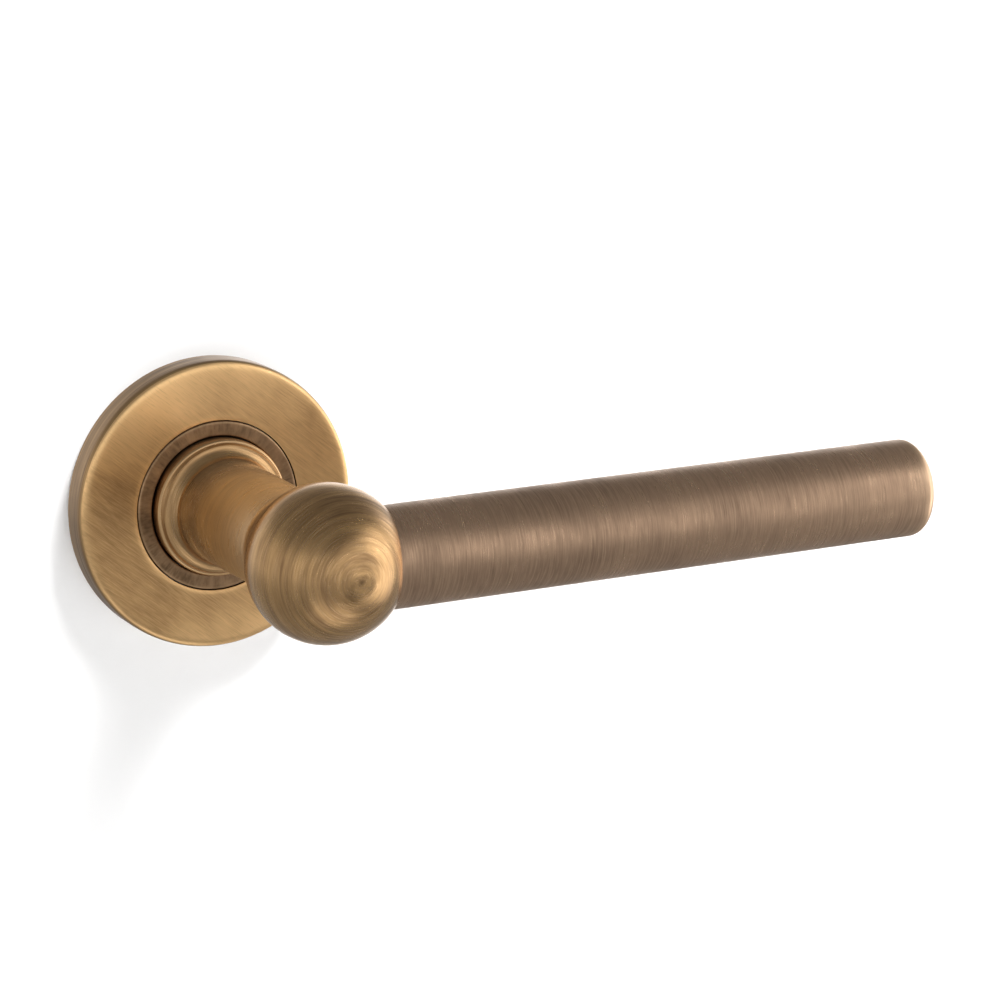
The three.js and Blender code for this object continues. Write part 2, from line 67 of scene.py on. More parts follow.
def centre_of(node):
    """The middle of a CAD node across the spindle axis, as (x, z) in millimetres."""
    low, high = millimetres(node)
    return (low.x + high.x) / 2, (low.z + high.z) / 2


# ---- Sizes, from the frame where a box gives them

ROSE_LOW, ROSE_HIGH = millimetres("rose_cover")
ROSE_R = ROSE_HIGH.x
ROSE_FRONT = ROSE_LOW.y
COVER_WALL = 1.4
COVER_FRONT_WALL = 1.3
COVER_BORE_R = 15.4

RING_HIGH = millimetres("bearing_ring")[1]
RING_R = RING_HIGH.x
RING_BACK = RING_HIGH.y
RING_BORE_R = 12.8
RING_SLEEVE_R = 13.8
RING_FLANGE_BACK = -4.5

NECK_LOW, NECK_HIGH = millimetres("lever_neck")
BALL_R = NECK_HIGH.z
BALL_Y = NECK_LOW.y + BALL_R
COLLAR_R = 12.4
COLLAR_FRONT = -8.2
COLLAR_BACK = -4.6
NECK_COLLAR_END_R = 9.4
NECK_BALL_END_R = 9.15
NECK_FILLET_R = 9.0
COVE_R = 2.4
SPIGOT_R = 8.5
SPIGOT_END = NECK_HIGH.y
SPIGOT_FLAT_X = 7.6
SPIGOT_FLAT_START = -0.4
GROOVE_R = 7.95
FIT = 0.1  # gap between pieces that touch on the real handle

GRIP_LOW, GRIP_HIGH = millimetres("grip_bar")
GRIP_R = GRIP_HIGH.z
GRIP_Y = (GRIP_LOW.y + GRIP_HIGH.y) / 2
GRIP_START = GRIP_LOW.x
GRIP_END = GRIP_HIGH.x
GRIP_EDGE = 1.7

STUD_LOW, STUD_HIGH = millimetres("joint_stud")
SPINDLE_LOW, SPINDLE_HIGH = millimetres("spindle")
SPINDLE_HALF = SPINDLE_HIGH.x
PLATE_LOW, PLATE_HIGH = millimetres("mounting_plate")
PLATE_R = PLATE_HIGH.x
PLATE_FRONT = PLATE_LOW.y
POST_END = PLATE_HIGH.y
POST_R = 3.6
HOUSING_R = 14.2
HOUSING_END = 6.5
COVER_THREAD_DEPTH = 0.18
COVER_THREAD_PITCH = 0.62
COVER_THREAD_TURNS = 5
CAP_LOW, CAP_HIGH = millimetres("spring_cap")
WASHER_LOW, WASHER_HIGH = millimetres("thrust_washer")
CLIP_LOW, CLIP_HIGH = millimetres("circlip")
GRUB_LOW, GRUB_HIGH = millimetres("spindle_grub_screw")
HEAD_Y = millimetres("through_bolt_1")[0].y
CAP_SCREWS = ("cap_screw_1", "cap_screw_2", "cap_screw_3")
CAP_BORE_R = 8.9
CAP_SCREW_HOLE_R = 1.1
BOLT_R = 2.0
BOLT_HEAD_R = 3.6
WOOD_SCREW_R = 1.7
WOOD_SCREW_HEAD_R = 3.3
BUSH_BORE_R = 9.7
FLOOR_FRONT = -2.4
FLOOR_BACK = -0.4
WEB_FRONT = -2.2
HUB_R = 15.6
RIM_IN_R = 22.4
BOSS_R = 4.2
HOUSING_BORE_R = 12.1
PILLAR_IN_R = 10.9
PILLAR_HALF = 11  # degrees to each side of its screw
SPRING_R = 9.9
SPRING_WIRE_R = 0.55
SPRING_LEG = 120.0  # angle of both spring legs, from +Z towards +X
SPRING_LEG_HOLE_R = 0.8
SPRING_FIRST = 3.3  # where its coil starts and ends along Y
SPRING_LAST = 5.6
SPRING_TURNS = 2

FINE = 192  # sides of the turned pieces that the camera sees
MEDIUM = 96
SMALL = 48


# ---- Meshes

def new_object(name, mesh):
    piece = bpy.data.objects.new(name, mesh)
    bpy.context.scene.collection.objects.link(piece)
    return piece


def object_with_wear_and_light(name, verts, faces, wear_and_painted_light):
    """An object from vertices in metres, with how worn each of them is, and its painted highlight
    and painted shade, as one attribute.
    """
    mesh = bpy.data.meshes.new(name)
    mesh.from_pydata(verts, [], faces)
    mesh.update()
    marks = mesh.attributes.new("wear_and_painted_light", "FLOAT", "POINT")
    marks.data.foreach_set("value", wear_and_painted_light)
    return new_object(name, mesh)


def baked(source):
    """A new mesh of an object, as its modifiers or its curve leave it."""
    graph = bpy.context.evaluated_depsgraph_get()
    return bpy.data.meshes.new_from_object(source.evaluated_get(graph), depsgraph=graph)


def add_ring(verts, wear_and_painted_light, y, points):
    """Adds a ring round Y from its (r, wear) points and returns the numbers of its vertices."""
    start = len(verts)
    sides = len(points)
    for k, (r, mark) in enumerate(points):
        angle = 2 * math.pi * k / sides
        verts.append((r * math.sin(angle), y, r * math.cos(angle)))
        wear_and_painted_light.append(mark)
    return list(range(start, start + sides))


def bridged(pairs):
    """Faces between each pair of rings, with triangles where one of the rings is a point."""
    faces = []
    for low, high in pairs:
        for k in range(len(low)):
            k2 = (k + 1) % len(low)
            face = list(dict.fromkeys((low[k], low[k2], high[k2], high[k])))
            if len(face) > 2:
                faces.append(face)
    return faces


def arc(centre_r, centre_y, radius, start, end, steps, wear_and_painted_light=0.0):
    """Points (r, y, wear) on an arc, with the angles in degrees from the +r direction."""
    points = []
    for i in range(steps + 1):
        angle = math.radians(start + (end - start) * i / steps)
        r = centre_r + radius * math.cos(angle)
        points.append((r, centre_y + radius * math.sin(angle), wear_and_painted_light))
    return points


def softened(profile, radius, closed, steps=3):
    """The profile with each sharp corner turned into a small curve. Corners take their own wear."""
    count = len(profile)
    result = []
    for i, point in enumerate(profile):
        if not closed and i in (0, count - 1):
            result.append(point)
            continue
        here = Vector(point[:2])
        before = Vector(profile[i - 1][:2])
        after = Vector(profile[(i + 1) % count][:2])
        to_before, to_after = before - here, after - here
        turn = math.pi - to_before.angle(to_after, math.pi)
        reach = min(radius, 0.45 * to_before.length, 0.45 * to_after.length)
        if turn < math.radians(20) or reach < 1e-4:
            result.append(point)
            continue
        first = here + to_before.normalized() * reach
        last = here + to_after.normalized() * reach
        for k in range(steps + 1):
            t = k / steps
            spot = first * (1 - t) ** 2 + here * 2 * t * (1 - t) + last * t * t
            result.append((spot.x, spot.y, point[2]))
    return result


def lathe(name, profile, sides, closed=False, axis="Y", centre=(0, 0, 0)):
    """A turned mesh. The profile of (r, along, wear) points runs up its outer side."""
    verts, wear_and_painted_light, rings = [], [], []
    for r, along, mark in profile:
        if abs(r) < 1e-6:
            rings.append([len(verts)] * sides)
            verts.append((0, along, 0))
            wear_and_painted_light.append(mark)
        else:
            rings.append(add_ring(verts, wear_and_painted_light, along, [(r, mark)] * sides))
    pairs = list(zip(rings, rings[1:]))
    if closed:
        pairs.append((rings[-1], rings[0]))
    if axis == "X":
        verts = [(y, -x, z) for x, y, z in verts]
    shift = Vector(centre)
    return object_with_wear_and_light(name, [(Vector(v) + shift) * MM for v in verts], bridged(pairs), wear_and_painted_light)


def smooth(piece, angle):
    """Smooth shading with sharp edges where the surface turns by more than the angle."""
    piece.data.shade_smooth()
    piece.data.set_sharp_from_angle(angle=math.radians(angle))


def turned(piece, rule):
    """Puts each vertex, in metres, where the rule says."""
    for vert in piece.data.vertices:
        vert.co = rule(*vert.co)


def box_cutter(low, high):
    """A box from corner to corner, in millimetres, for a boolean."""
    mesh = bpy.data.meshes.new("cutter")
    shape = bmesh.new()
    bmesh.ops.create_cube(shape, size=1)
    low, high = Vector(low), Vector(high)
    for vert in shape.verts:
        spot = [low[i] if vert.co[i] < 0 else high[i] for i in range(3)]
        vert.co = Vector(spot) * MM
    shape.to_mesh(mesh)
    shape.free()
    return new_object("cutter", mesh)


def rod_cutter(radius, start, end, axis="Y", centre=(0, 0, 0), sides=SMALL):
    """A closed cylinder for a boolean, from start to end along its axis."""
    profile = [(0, start, 0), (radius, start, 0), (radius, end, 0), (0, end, 0)]
    return lathe("cutter", profile, sides, axis=axis, centre=centre)


def boolean(piece, cutters, operation="DIFFERENCE"):
    """Applies exact booleans to the piece and deletes the cutters."""
    for cutter in cutters:
        step = piece.modifiers.new("cut", "BOOLEAN")
        step.operation = operation
        step.object = cutter
        step.solver = "EXACT"
    mesh = baked(piece)
    old = piece.data
    piece.modifiers.clear()
    piece.data = mesh
    mesh.name = piece.name
    bpy.data.meshes.remove(old)
    for cutter in cutters:
        data = cutter.data
        bpy.data.objects.remove(cutter)
        bpy.data.meshes.remove(data)


def bevelled(piece, width, segments):
    """Bevels the piece's sharp edges, with the result applied to its mesh."""
    step = piece.modifiers.new("edges", "BEVEL")
    step.width = width * MM
    step.segments = segments
    step.limit_method = "ANGLE"
    step.angle_limit = math.radians(35)
    mesh = baked(piece)
    piece.modifiers.clear()
    piece.data = mesh


def finished(piece, body, node, material, angle=32):
    """Smooths a piece, gives it its body and material, and hides the CAD node it stands for."""
    smooth(piece, angle)
    piece.data.materials.clear()
    piece.data.materials.append(material)
    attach(piece, body)
    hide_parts(node)


# ---- Material graphs

class Graph:
    """Short calls for building a node tree."""

    def __init__(self, name):
        self.material = bpy.data.materials.new(name)
        self.material.use_nodes = True
        self.tree = self.material.node_tree
        self.shader = next(n for n in self.tree.nodes if n.type == "BSDF_PRINCIPLED")
        self.place = self.add("ShaderNodeTexCoord").outputs["Object"]

    def add(self, kind, **settings):
        node = self.tree.nodes.new(kind)
        for key, value in settings.items():
            setattr(node, key, value)
        return node

    def join(self, source, target):
        if isinstance(source, bpy.types.NodeSocket):
            self.tree.links.new(source, target)
        else:
            target.default_value = source

    def math(self, operation, *values):
        node = self.add("ShaderNodeMath", operation=operation)
        for value, socket in zip(values, node.inputs):
            self.join(value, socket)
        return node.outputs[0]

    def vector(self, *pairs):
        """A vector of three values, each multiplied by its own rate."""
        node = self.add("ShaderNodeCombineXYZ")
        for (value, rate), socket in zip(pairs, node.inputs):
            self.join(self.math("MULTIPLY", value, rate), socket)
        return node.outputs[0]

    def axes(self):
        node = self.add("ShaderNodeSeparateXYZ")
        self.join(self.place, node.inputs[0])
        return node.outputs[0], node.outputs[1], node.outputs[2]

    def polar(self, first, second):
        """The distance from an axis, and the two offsets from it as shares of that distance."""
        radius = self.math("SQRT", self.math("ADD", self.math("MULTIPLY", first, first),
                                             self.math("MULTIPLY", second, second)))
        safe = self.math("MAXIMUM", radius, 0.2 * MM)
        return radius, self.math("DIVIDE", first, safe), self.math("DIVIDE", second, safe)

    def noise(self, vector, scale, detail, roughness, fourth=None):
        node = self.add("ShaderNodeTexNoise")
        node.noise_dimensions = "4D" if fourth is not None else "3D"
        self.join(vector, node.inputs["Vector"])
        if fourth is not None:
            self.join(fourth, node.inputs["W"])
        node.inputs["Scale"].default_value = scale
        node.inputs["Detail"].default_value = detail
        node.inputs["Roughness"].default_value = roughness
        return node.outputs["Fac"]

    def span(self, value, low, high, to_low=0.0, to_high=1.0, soft=False):
        """The value mapped from low..high to to_low..to_high, and held there outside."""
        node = self.add("ShaderNodeMapRange", clamp=True)
        node.interpolation_type = "SMOOTHSTEP" if soft else "LINEAR"
        for item, socket in zip((value, low, high, to_low, to_high), node.inputs):
            self.join(item, socket)
        return node.outputs[0]

    def mix(self, factor, first, second):
        node = self.add("ShaderNodeMix", data_type="RGBA")
        self.join(factor, node.inputs["Factor"])
        self.join(first, node.inputs["A"])
        self.join(second, node.inputs["B"])
        return node.outputs["Result"]

    def bump(self, height, strength, distance):
        node = self.add("ShaderNodeBump")
        node.inputs["Strength"].default_value = strength
        node.inputs["Distance"].default_value = distance * MM
        self.join(height, node.inputs["Height"])
        self.join(node.outputs[0], self.shader.inputs["Normal"])

    def tangent(self, axis=None, uv=None, turn=0.0):
        """The direction of the brush marks, for the stretched highlights they give."""
        node = self.add("ShaderNodeTangent")
        if uv:
            node.direction_type = "UV_MAP"
            node.uv_map = uv
        else:
            node.direction_type = "RADIAL"
            node.axis = axis
        self.join(node.outputs[0], self.shader.inputs["Tangent"])
        self.shader.inputs["Anisotropic Rotation"].default_value = turn

    def set(self, **values):
        for key, value in values.items():
            self.join(value, self.shader.inputs[key.replace("_", " ")])


def rgb(red, green, blue):
    return (red, green, blue, 1.0)


def turned_marks(graph, fine=3.2, coarse=0.8):
    """Fine and coarse streaks round the Y axis, as a lathe and an abrasive leave them."""
    x, y, z = graph.axes()
    radius, round_x, round_z = graph.polar(x, z)
    return streaks(graph, radius, y, round_x, round_z, fine, coarse)


def crossing_marks(graph, centre_y, fine, coarse):
    """Fine and coarse streaks round the bar's own axis, which is along X at centre_y."""
    x, y, z = graph.axes()
    off = graph.math("SUBTRACT", y, centre_y * MM)
    radius, round_y, round_z = graph.polar(off, z)
    return streaks(graph, x, radius, round_y, round_z, fine, coarse)


def streaks(graph, across_a, across_b, round_a, round_b, fine, coarse):
    """Noise that changes fast across the marks and slowly round the axis."""
    result = []
    for per_mm, sweep, detail in ((fine, 1.9, 3.0), (coarse, 0.6, 2.0)):
        rate = per_mm / MM
        spot = graph.vector((across_a, rate), (across_b, rate), (round_a, sweep))
        result.append(graph.noise(spot, 1.0, detail, 0.6,
                                  fourth=graph.math("MULTIPLY", round_b, sweep)))
    return result


def straight_marks(graph, angle, fine, coarse, sweep):
    """Straight streaks in the XZ plane at an angle in degrees from +X towards +Z."""
    x, y, z = graph.axes()
    cos, sin = math.cos(math.radians(angle)), math.sin(math.radians(angle))
    along = graph.math("ADD", graph.math("MULTIPLY", x, cos), graph.math("MULTIPLY", z, sin))
    across = graph.math("SUBTRACT", graph.math("MULTIPLY", z, cos),
                        graph.math("MULTIPLY", x, sin))
    result = []
    for per_mm, run in ((fine, sweep), (coarse, sweep * 0.6)):
        spot = graph.vector((along, run / MM), (across, per_mm / MM), (y, per_mm / MM))
        result.append(graph.noise(spot, 1.0, 3.0, 0.6))
    return result


def radial_marks(graph):
    """Short streaks that point at the Y axis."""
    per_turn = 150.0
    x, _, z = graph.axes()
    radius, round_x, round_z = graph.polar(x, z)
    result = []
    for rate in (per_turn / math.tau, per_turn / math.tau / 5):
        spot = graph.vector((round_x, rate), (round_z, rate), (radius, 0.4 / MM))
        result.append(graph.noise(spot, 1.0, 3.0, 0.6))
    return result


def aged_brass(graph, marks, shades, cloud_scale, roughness, anisotropy, hair=0.35, band=0.5,
               lift=None, lift_shade=None):
    """Brushed brass under a brown patina: cloudy and streaked, worn bright at its edges, partly as
    a painted highlight, and darkened by painted shade in its recesses.

    shades are the deep, middle and light colours. hair and band are how much the fine and the
    coarse marks show, and lift, from 0 to 1, is where the patina is paler; on the rose it also
    holds painted light and shade. The colour is lifted towards lift_shade, or towards the light
    colour where none is given.
    """
    fine, coarse = marks
    deep, middle, light = (rgb(*shade) for shade in shades)
    cloud = graph.noise(graph.place, cloud_scale, 3.0, 0.6)
    tone = graph.math("ADD", graph.span(cloud, 0.3, 0.7, 0.0, 1.0 - band),
                      graph.span(coarse, 0.3, 0.7, 0.0, band))
    colour = graph.mix(graph.span(tone, 0.1, 0.9), deep, middle)
    if lift is not None:
        colour = graph.mix(lift, colour, rgb(*(lift_shade or shades[2])))
    colour = graph.mix(graph.span(fine, 0.46, 0.7, 0.0, hair), colour, light)
    dark_hair = graph.span(fine, 0.44, 0.28, 0.0, hair * 1.2)
    colour = graph.mix(dark_hair, colour, rgb(*[0.45 * c for c in shades[0]]))
    # Above 0 the vertex value turns the colour towards the light shade: real rubbing at the edges,
    # partly a painted highlight. Below 0 it darkens the colour: painted shade in recesses and
    # between parts.
    wear_and_painted_light = graph.add("ShaderNodeAttribute", attribute_name="wear_and_painted_light").outputs["Fac"]
    rubbed_and_highlit = graph.span(graph.math("MULTIPLY", wear_and_painted_light, graph.span(coarse, 0.2, 0.6, 0.55, 1.0)),
                        0.0, 1.0)
    colour = graph.mix(rubbed_and_highlit, colour, light)
    # Painted shade: darker where the vertex value is below 0.
    painted_shade = graph.span(wear_and_painted_light, 0.0, -1.0)
    colour = graph.mix(painted_shade, colour, rgb(*[0.35 * c for c in shades[0]]))
    graph.set(Base_Color=colour, Metallic=0.97, Anisotropic=anisotropy)
    rough = graph.math("ADD", graph.span(fine, 0.25, 0.75, roughness + 0.08, roughness - 0.06),
                       graph.span(cloud, 0.35, 0.65, 0.04, -0.03))
    graph.set(Roughness=rough)
    height = graph.math("ADD", graph.math("MULTIPLY", fine, 0.75),
                        graph.math("MULTIPLY", coarse, 0.25))
    graph.bump(height, 0.3, 0.02)
    return graph.material


# ---- Materials

BRUSH_ANGLE = -40.0  # straight brush marks on the rose, from upper left to lower right


def rose_face_brass():
    """Paler brass at the rose's top and bottom, its upper left and its lower right, and darker at
    its sides: painted light and shade, over random patches of paler patina.
    """
    graph = Graph("rose_face_brass")
    x, _, z = graph.axes()
    height = graph.math("DIVIDE", z, ROSE_R * MM)
    side = graph.math("DIVIDE", x, ROSE_R * MM)
    lean = graph.math("MULTIPLY_ADD", side, -0.8, graph.math("MULTIPLY_ADD", height, 0.75, 0.14))
    # Painted light and shade: paler at the top, bottom, upper left and lower right, darker at the
    # sides.
    painted_light_and_shade = graph.math("MULTIPLY_ADD", height, lean,
                      graph.math("MULTIPLY", graph.math("MULTIPLY", side, side), -0.16))
    patch = graph.noise(graph.place, 55, 2.0, 0.5)
    lift = graph.span(graph.math("ADD", painted_light_and_shade, graph.span(patch, 0.3, 0.7, -0.25, 0.25)),
                      0.0, 0.8, 0.0, 0.8)
    graph.tangent(uv="brush")
    return aged_brass(graph, straight_marks(graph, BRUSH_ANGLE, 4.5, 1.3, 0.25),
                      ((0.32, 0.185, 0.08), (0.59, 0.358, 0.158), (1.0, 0.65, 0.31)),
                      70, 0.36, 0.7, 0.22, 0.35, lift)


def rose_rim_shaded_brass():
    # A darker copy of the rose's brass, with turned marks, for its side wall, back and inner faces.
    # The marks are real; the darkness is painted shade.
    graph = Graph("rose_rim_shaded_brass")
    graph.tangent(axis="Y")
    return aged_brass(graph, turned_marks(graph), ((0.17, 0.105, 0.055), (0.38, 0.235, 0.115),
                                                   (0.75, 0.48, 0.22)), 60, 0.36, 0.7, 0.25)


def ring_brass():
    graph = Graph("ring_brass")
    graph.tangent(axis="Y", turn=0.25)
    return aged_brass(graph, radial_marks(graph), ((0.13, 0.08, 0.043), (0.38, 0.235, 0.13),
                                                   (0.5, 0.33, 0.19)), 150, 0.38, 0.6, 0.3)


def lever_brass():
    """A brown ball, with a thinner and paler patina on the neck behind it."""
    graph = Graph("lever_brass")
    graph.tangent(axis="Y")
    y = graph.axes()[1]
    neck = graph.math("MULTIPLY",
                      graph.span(y, (BALL_Y + 8) * MM, (BALL_Y + 16) * MM, 0.0, 0.62, soft=True),
                      graph.span(y, -11.5 * MM, -10 * MM, 1.0, 0.0, soft=True))
    return aged_brass(graph, turned_marks(graph, 4.2, 1.0),
                      ((0.25, 0.145, 0.07), (0.57, 0.35, 0.158), (0.9, 0.62, 0.34)),
                      75, 0.28, 0.85, 0.2, 0.6, neck, (0.66, 0.52, 0.33))


def grip_brass():
    graph = Graph("grip_brass")
    graph.tangent(axis="X")
    return aged_brass(graph, crossing_marks(graph, GRIP_Y, 4.4, 1.8),
                      ((0.3, 0.198, 0.132), (0.45, 0.295, 0.195), (0.76, 0.53, 0.34)),
                      100, 0.3, 0.85, 0.3, 0.3)


def metal(name, colour, roughness, marks_size=1.2, bump=0.1):
    """Plain metal with slight mottling and fine grain."""
    graph = Graph(name)
    grain = graph.noise(graph.place, marks_size / MM, 4.0, 0.6)
    cloud = graph.noise(graph.place, 0.12 / MM, 2.0, 0.5)
    dark = rgb(*[0.72 * c for c in colour])
    pale = rgb(*[min(1.0, 1.12 * c) for c in colour])
    shade = graph.mix(graph.span(cloud, 0.35, 0.65), dark, pale)
    shade = graph.mix(graph.span(grain, 0.55, 0.8, 0.0, 0.4), shade, dark)
    graph.set(Base_Color=shade, Metallic=1.0)
    graph.set(Roughness=graph.span(grain, 0.3, 0.7, roughness - 0.06, roughness + 0.08))
    graph.bump(grain, bump, 0.02)
    return graph.material


def drawn_steel():
    """Bright zinc-plated square bar with drawing marks along its length."""
    graph = Graph("drawn_steel")
    x, y, z = graph.axes()
    spot = graph.vector((x, 2.5 / MM), (y, 0.05 / MM), (z, 2.5 / MM))
    line = graph.noise(spot, 1.0, 3.0, 0.6)
    cloud = graph.noise(graph.place, 0.1 / MM, 2.0, 0.5)
    shade = graph.mix(graph.span(cloud, 0.35, 0.65), rgb(0.5, 0.5, 0.49), rgb(0.66, 0.67, 0.68))
    shade = graph.mix(graph.span(line, 0.5, 0.75, 0.0, 0.5), shade, rgb(0.38, 0.38, 0.38))
    graph.set(Base_Color=shade, Metallic=1.0)
    graph.set(Roughness=graph.span(line, 0.3, 0.7, 0.24, 0.38))
    graph.bump(line, 0.15, 0.02)
    return graph.material


def moulded_acetal():
    graph = Graph("moulded_acetal")
    grain = graph.noise(graph.place, 1.5 / MM, 3.0, 0.6)
    cloud = graph.noise(graph.place, 0.15 / MM, 2.0, 0.5)
    shade = graph.mix(graph.span(cloud, 0.3, 0.7), rgb(0.74, 0.71, 0.62), rgb(0.84, 0.82, 0.75))
    graph.set(Base_Color=shade)
    graph.set(Roughness=graph.span(grain, 0.3, 0.7, 0.4, 0.52))
    graph.bump(grain, 0.08, 0.02)
    return graph.material


# ---- Rose: cover and ring

def cover_corner():
    """The soft outer edge: a flattened curve from the face round to the side wall."""
    steps, reach_r, reach_y, power = 18, 2.4, 2.6, 4.2
    points = []
    for i in range(steps + 1):
        angle = math.pi / 2 * i / steps
        across = math.sin(angle) ** (2 / power)
        down = math.cos(angle) ** (2 / power)
        r = ROSE_R - reach_r + reach_r * across
        y = ROSE_FRONT + reach_y - reach_y * down
        # A bright band round the soft corner: rubbing, partly a painted highlight.
        wear_and_painted_light = 0.6 * max(0.0, 1.0 - abs(i / steps - 0.42) / 0.42)
        points.append((r, y, wear_and_painted_light))
    return points


def make_rose_cover():
    inner_r = ROSE_R - COVER_WALL
    inner_y = ROSE_FRONT + COVER_FRONT_WALL
    edge = 0.18
    # The third value brightens the bore's edge and the back edge, rubbing that is partly a painted
    # highlight, and paints shade on the thread and the inner walls.
    profile = [
        (COVER_BORE_R, ROSE_FRONT + edge, 0.0),
        (COVER_BORE_R + 0.05, ROSE_FRONT + 0.05, 0.8),
        (COVER_BORE_R + edge, ROSE_FRONT, 0.7),
        (COVER_BORE_R + 0.9, ROSE_FRONT, 0.12),
        (COVER_BORE_R + 1.6, ROSE_FRONT, 0.0),
        ((COVER_BORE_R + ROSE_R) / 2, ROSE_FRONT, 0.0),
        (ROSE_R - 4.0, ROSE_FRONT, 0.0),
    ]
    profile += cover_corner()
    profile += [
        (ROSE_R, -1.2, 0.0),
        (ROSE_R, -0.12, 0.2),
        (ROSE_R - 0.12, 0, 0.2),
        (inner_r + 0.12, 0, 0.0),
        (inner_r, -0.12, 0.0),
    ]
    for i in range(COVER_THREAD_TURNS):
        y = -0.5 - COVER_THREAD_PITCH * i
        profile += [
            (inner_r, y, 0.0),
            (inner_r + COVER_THREAD_DEPTH, y - COVER_THREAD_PITCH / 2, -0.3),
        ]
    profile += [
        (inner_r, inner_y + 0.3, 0.0),
        (inner_r - 0.3, inner_y, -0.5),
        (COVER_BORE_R + 0.1, inner_y, -0.5),
        (COVER_BORE_R, inner_y - 0.1, -0.6),
        (COVER_BORE_R, ROSE_FRONT + 0.6, -0.4),
    ]
    cover = lathe("cover_shell", profile, FINE, closed=True)
    layer = cover.data.uv_layers.new(name="brush")
    angle = math.radians(BRUSH_ANGLE)
    for loop in cover.data.loops:
        spot = cover.data.vertices[loop.vertex_index].co
        along = spot.x * math.cos(angle) + spot.z * math.sin(angle)
        across = spot.z * math.cos(angle) - spot.x * math.sin(angle)
        layer.data[loop.index].uv = (along * 10, across * 10 + spot.y * 3)
    finished(cover, "rose", "rose_cover", rose_face_brass(), 28)
    cover.data.materials.append(rose_rim_shaded_brass())
    # Faces that don't face the front take the darker rim copy: painted shade.
    for face in cover.data.polygons:
        if face.normal.y > -0.6:
            face.material_index = 1


def make_bearing_ring():
    edge = 0.2
    rim = RING_R + 0.16  # turned to a close fit in the cover's bore
    bore = RING_BORE_R - 0.22  # and to a close running fit round the collar
    # Above 0 the third value brightens the front edges, rubbing that is partly a painted highlight.
    # Below 0 it is painted shade on the flange's back, the sleeve and the bore, inside the cover
    # and round the collar.
    profile = softened([
        (bore + edge, ROSE_FRONT, 0.2),
        (bore + 0.9, ROSE_FRONT, 0.0),
        (rim - 0.6, ROSE_FRONT, 0.0),
        (rim - edge, ROSE_FRONT, 0.45),
        (rim, ROSE_FRONT + edge, 0.1),
        (rim, RING_FLANGE_BACK, -0.6),
        (RING_SLEEVE_R, RING_FLANGE_BACK, -0.8),
        (RING_SLEEVE_R, RING_BACK, -0.5),
        (bore, RING_BACK, -0.8),
        (bore, ROSE_FRONT + 1.2, -0.6),
        (bore, ROSE_FRONT + edge, 0.0),
    ], 0.1, True)
    ring = lathe("collar_bearing_ring", profile, FINE, closed=True)
    finished(ring, "rose", "bearing_ring", ring_brass())


# ---- Lever

def neck_profile():
    reach = BALL_R + NECK_FILLET_R
    fillet_r = NECK_BALL_END_R + NECK_FILLET_R
    rise = math.sqrt(reach ** 2 - fillet_r ** 2)
    join = math.degrees(math.atan2(rise, fillet_r))
    cove_y = COLLAR_FRONT - 0.6 - COVE_R
    rim = 0.6
    profile = arc(0, BALL_Y, BALL_R, -90, join, 72)
    # The ball's front pole is painted darker.
    profile[0] = (0, profile[0][1], -0.8)
    profile[1] = (profile[1][0], profile[1][1], -0.35)
    profile += arc(fillet_r, BALL_Y + rise, NECK_FILLET_R, 180 + join, 180, 16)[1:]
    # Below 0 the third value is painted shade: in the cove, and on the collar's side and back,
    # where it stands in the ring's bore. Values above 0, as on the collar rim, are rubbing, partly
    # a painted highlight.
    profile += [(NECK_COLLAR_END_R, cove_y - 3.0, 0.0), (NECK_COLLAR_END_R, cove_y, -0.1)]
    profile += arc(NECK_COLLAR_END_R + COVE_R, cove_y, COVE_R, 180, 118, 8, -0.12)[1:]
    profile += arc(NECK_COLLAR_END_R + COVE_R, cove_y, COVE_R, 110, 98, 3, 0.0)
    profile += arc(COLLAR_R - rim, COLLAR_FRONT + rim, rim, -90, 0, 8, 0.2)
    profile += softened([
        (COLLAR_R, COLLAR_FRONT + rim + 0.4, 0.0),
        (COLLAR_R, ROSE_FRONT - 0.35, -0.1),
        (COLLAR_R, ROSE_FRONT + 0.1, -0.6),
        (COLLAR_R, COLLAR_BACK, -1.0),
        (SPIGOT_R, COLLAR_BACK, -0.5),
        (SPIGOT_R, CLIP_LOW.y - FIT, 0.0),
        (GROOVE_R, CLIP_LOW.y - FIT, -0.5),
        (GROOVE_R, CLIP_HIGH.y + FIT, -0.5),
        (SPIGOT_R, CLIP_HIGH.y + FIT, 0.0),
        (SPIGOT_R, SPIGOT_END - 0.4, 0.5),
        (SPIGOT_R - 0.4, SPIGOT_END, 0.5),
        (0, SPIGOT_END, 0.0),
    ], 0.08, False)
    return profile


def make_lever_neck():
    neck = lathe("ball_and_neck", neck_profile(), FINE)
    half = SPINDLE_HALF + FIT
    far = SPIGOT_END + 1
    stud_r = STUD_HIGH.z + FIT
    cutters = [
        rod_cutter(GRIP_R + 0.03, GRIP_START - FIT, BALL_R + 2, "X", (0, GRIP_Y, 0), FINE),
        rod_cutter(stud_r, STUD_LOW.x - 0.5, BALL_R, "X", (0, GRIP_Y, 0)),
        box_cutter((-half, SPINDLE_LOW.y - 1, -half), (half, far, half)),
        box_cutter((SPIGOT_FLAT_X, SPIGOT_FLAT_START, -ROSE_R), (ROSE_R, far, ROSE_R)),
        box_cutter((-ROSE_R, SPIGOT_FLAT_START, -ROSE_R), (-SPIGOT_FLAT_X, far, ROSE_R)),
        grub_hole_cutter(),
    ]
    boolean(neck, cutters)
    finished(neck, "lever", "lever_neck", lever_brass(), 30)


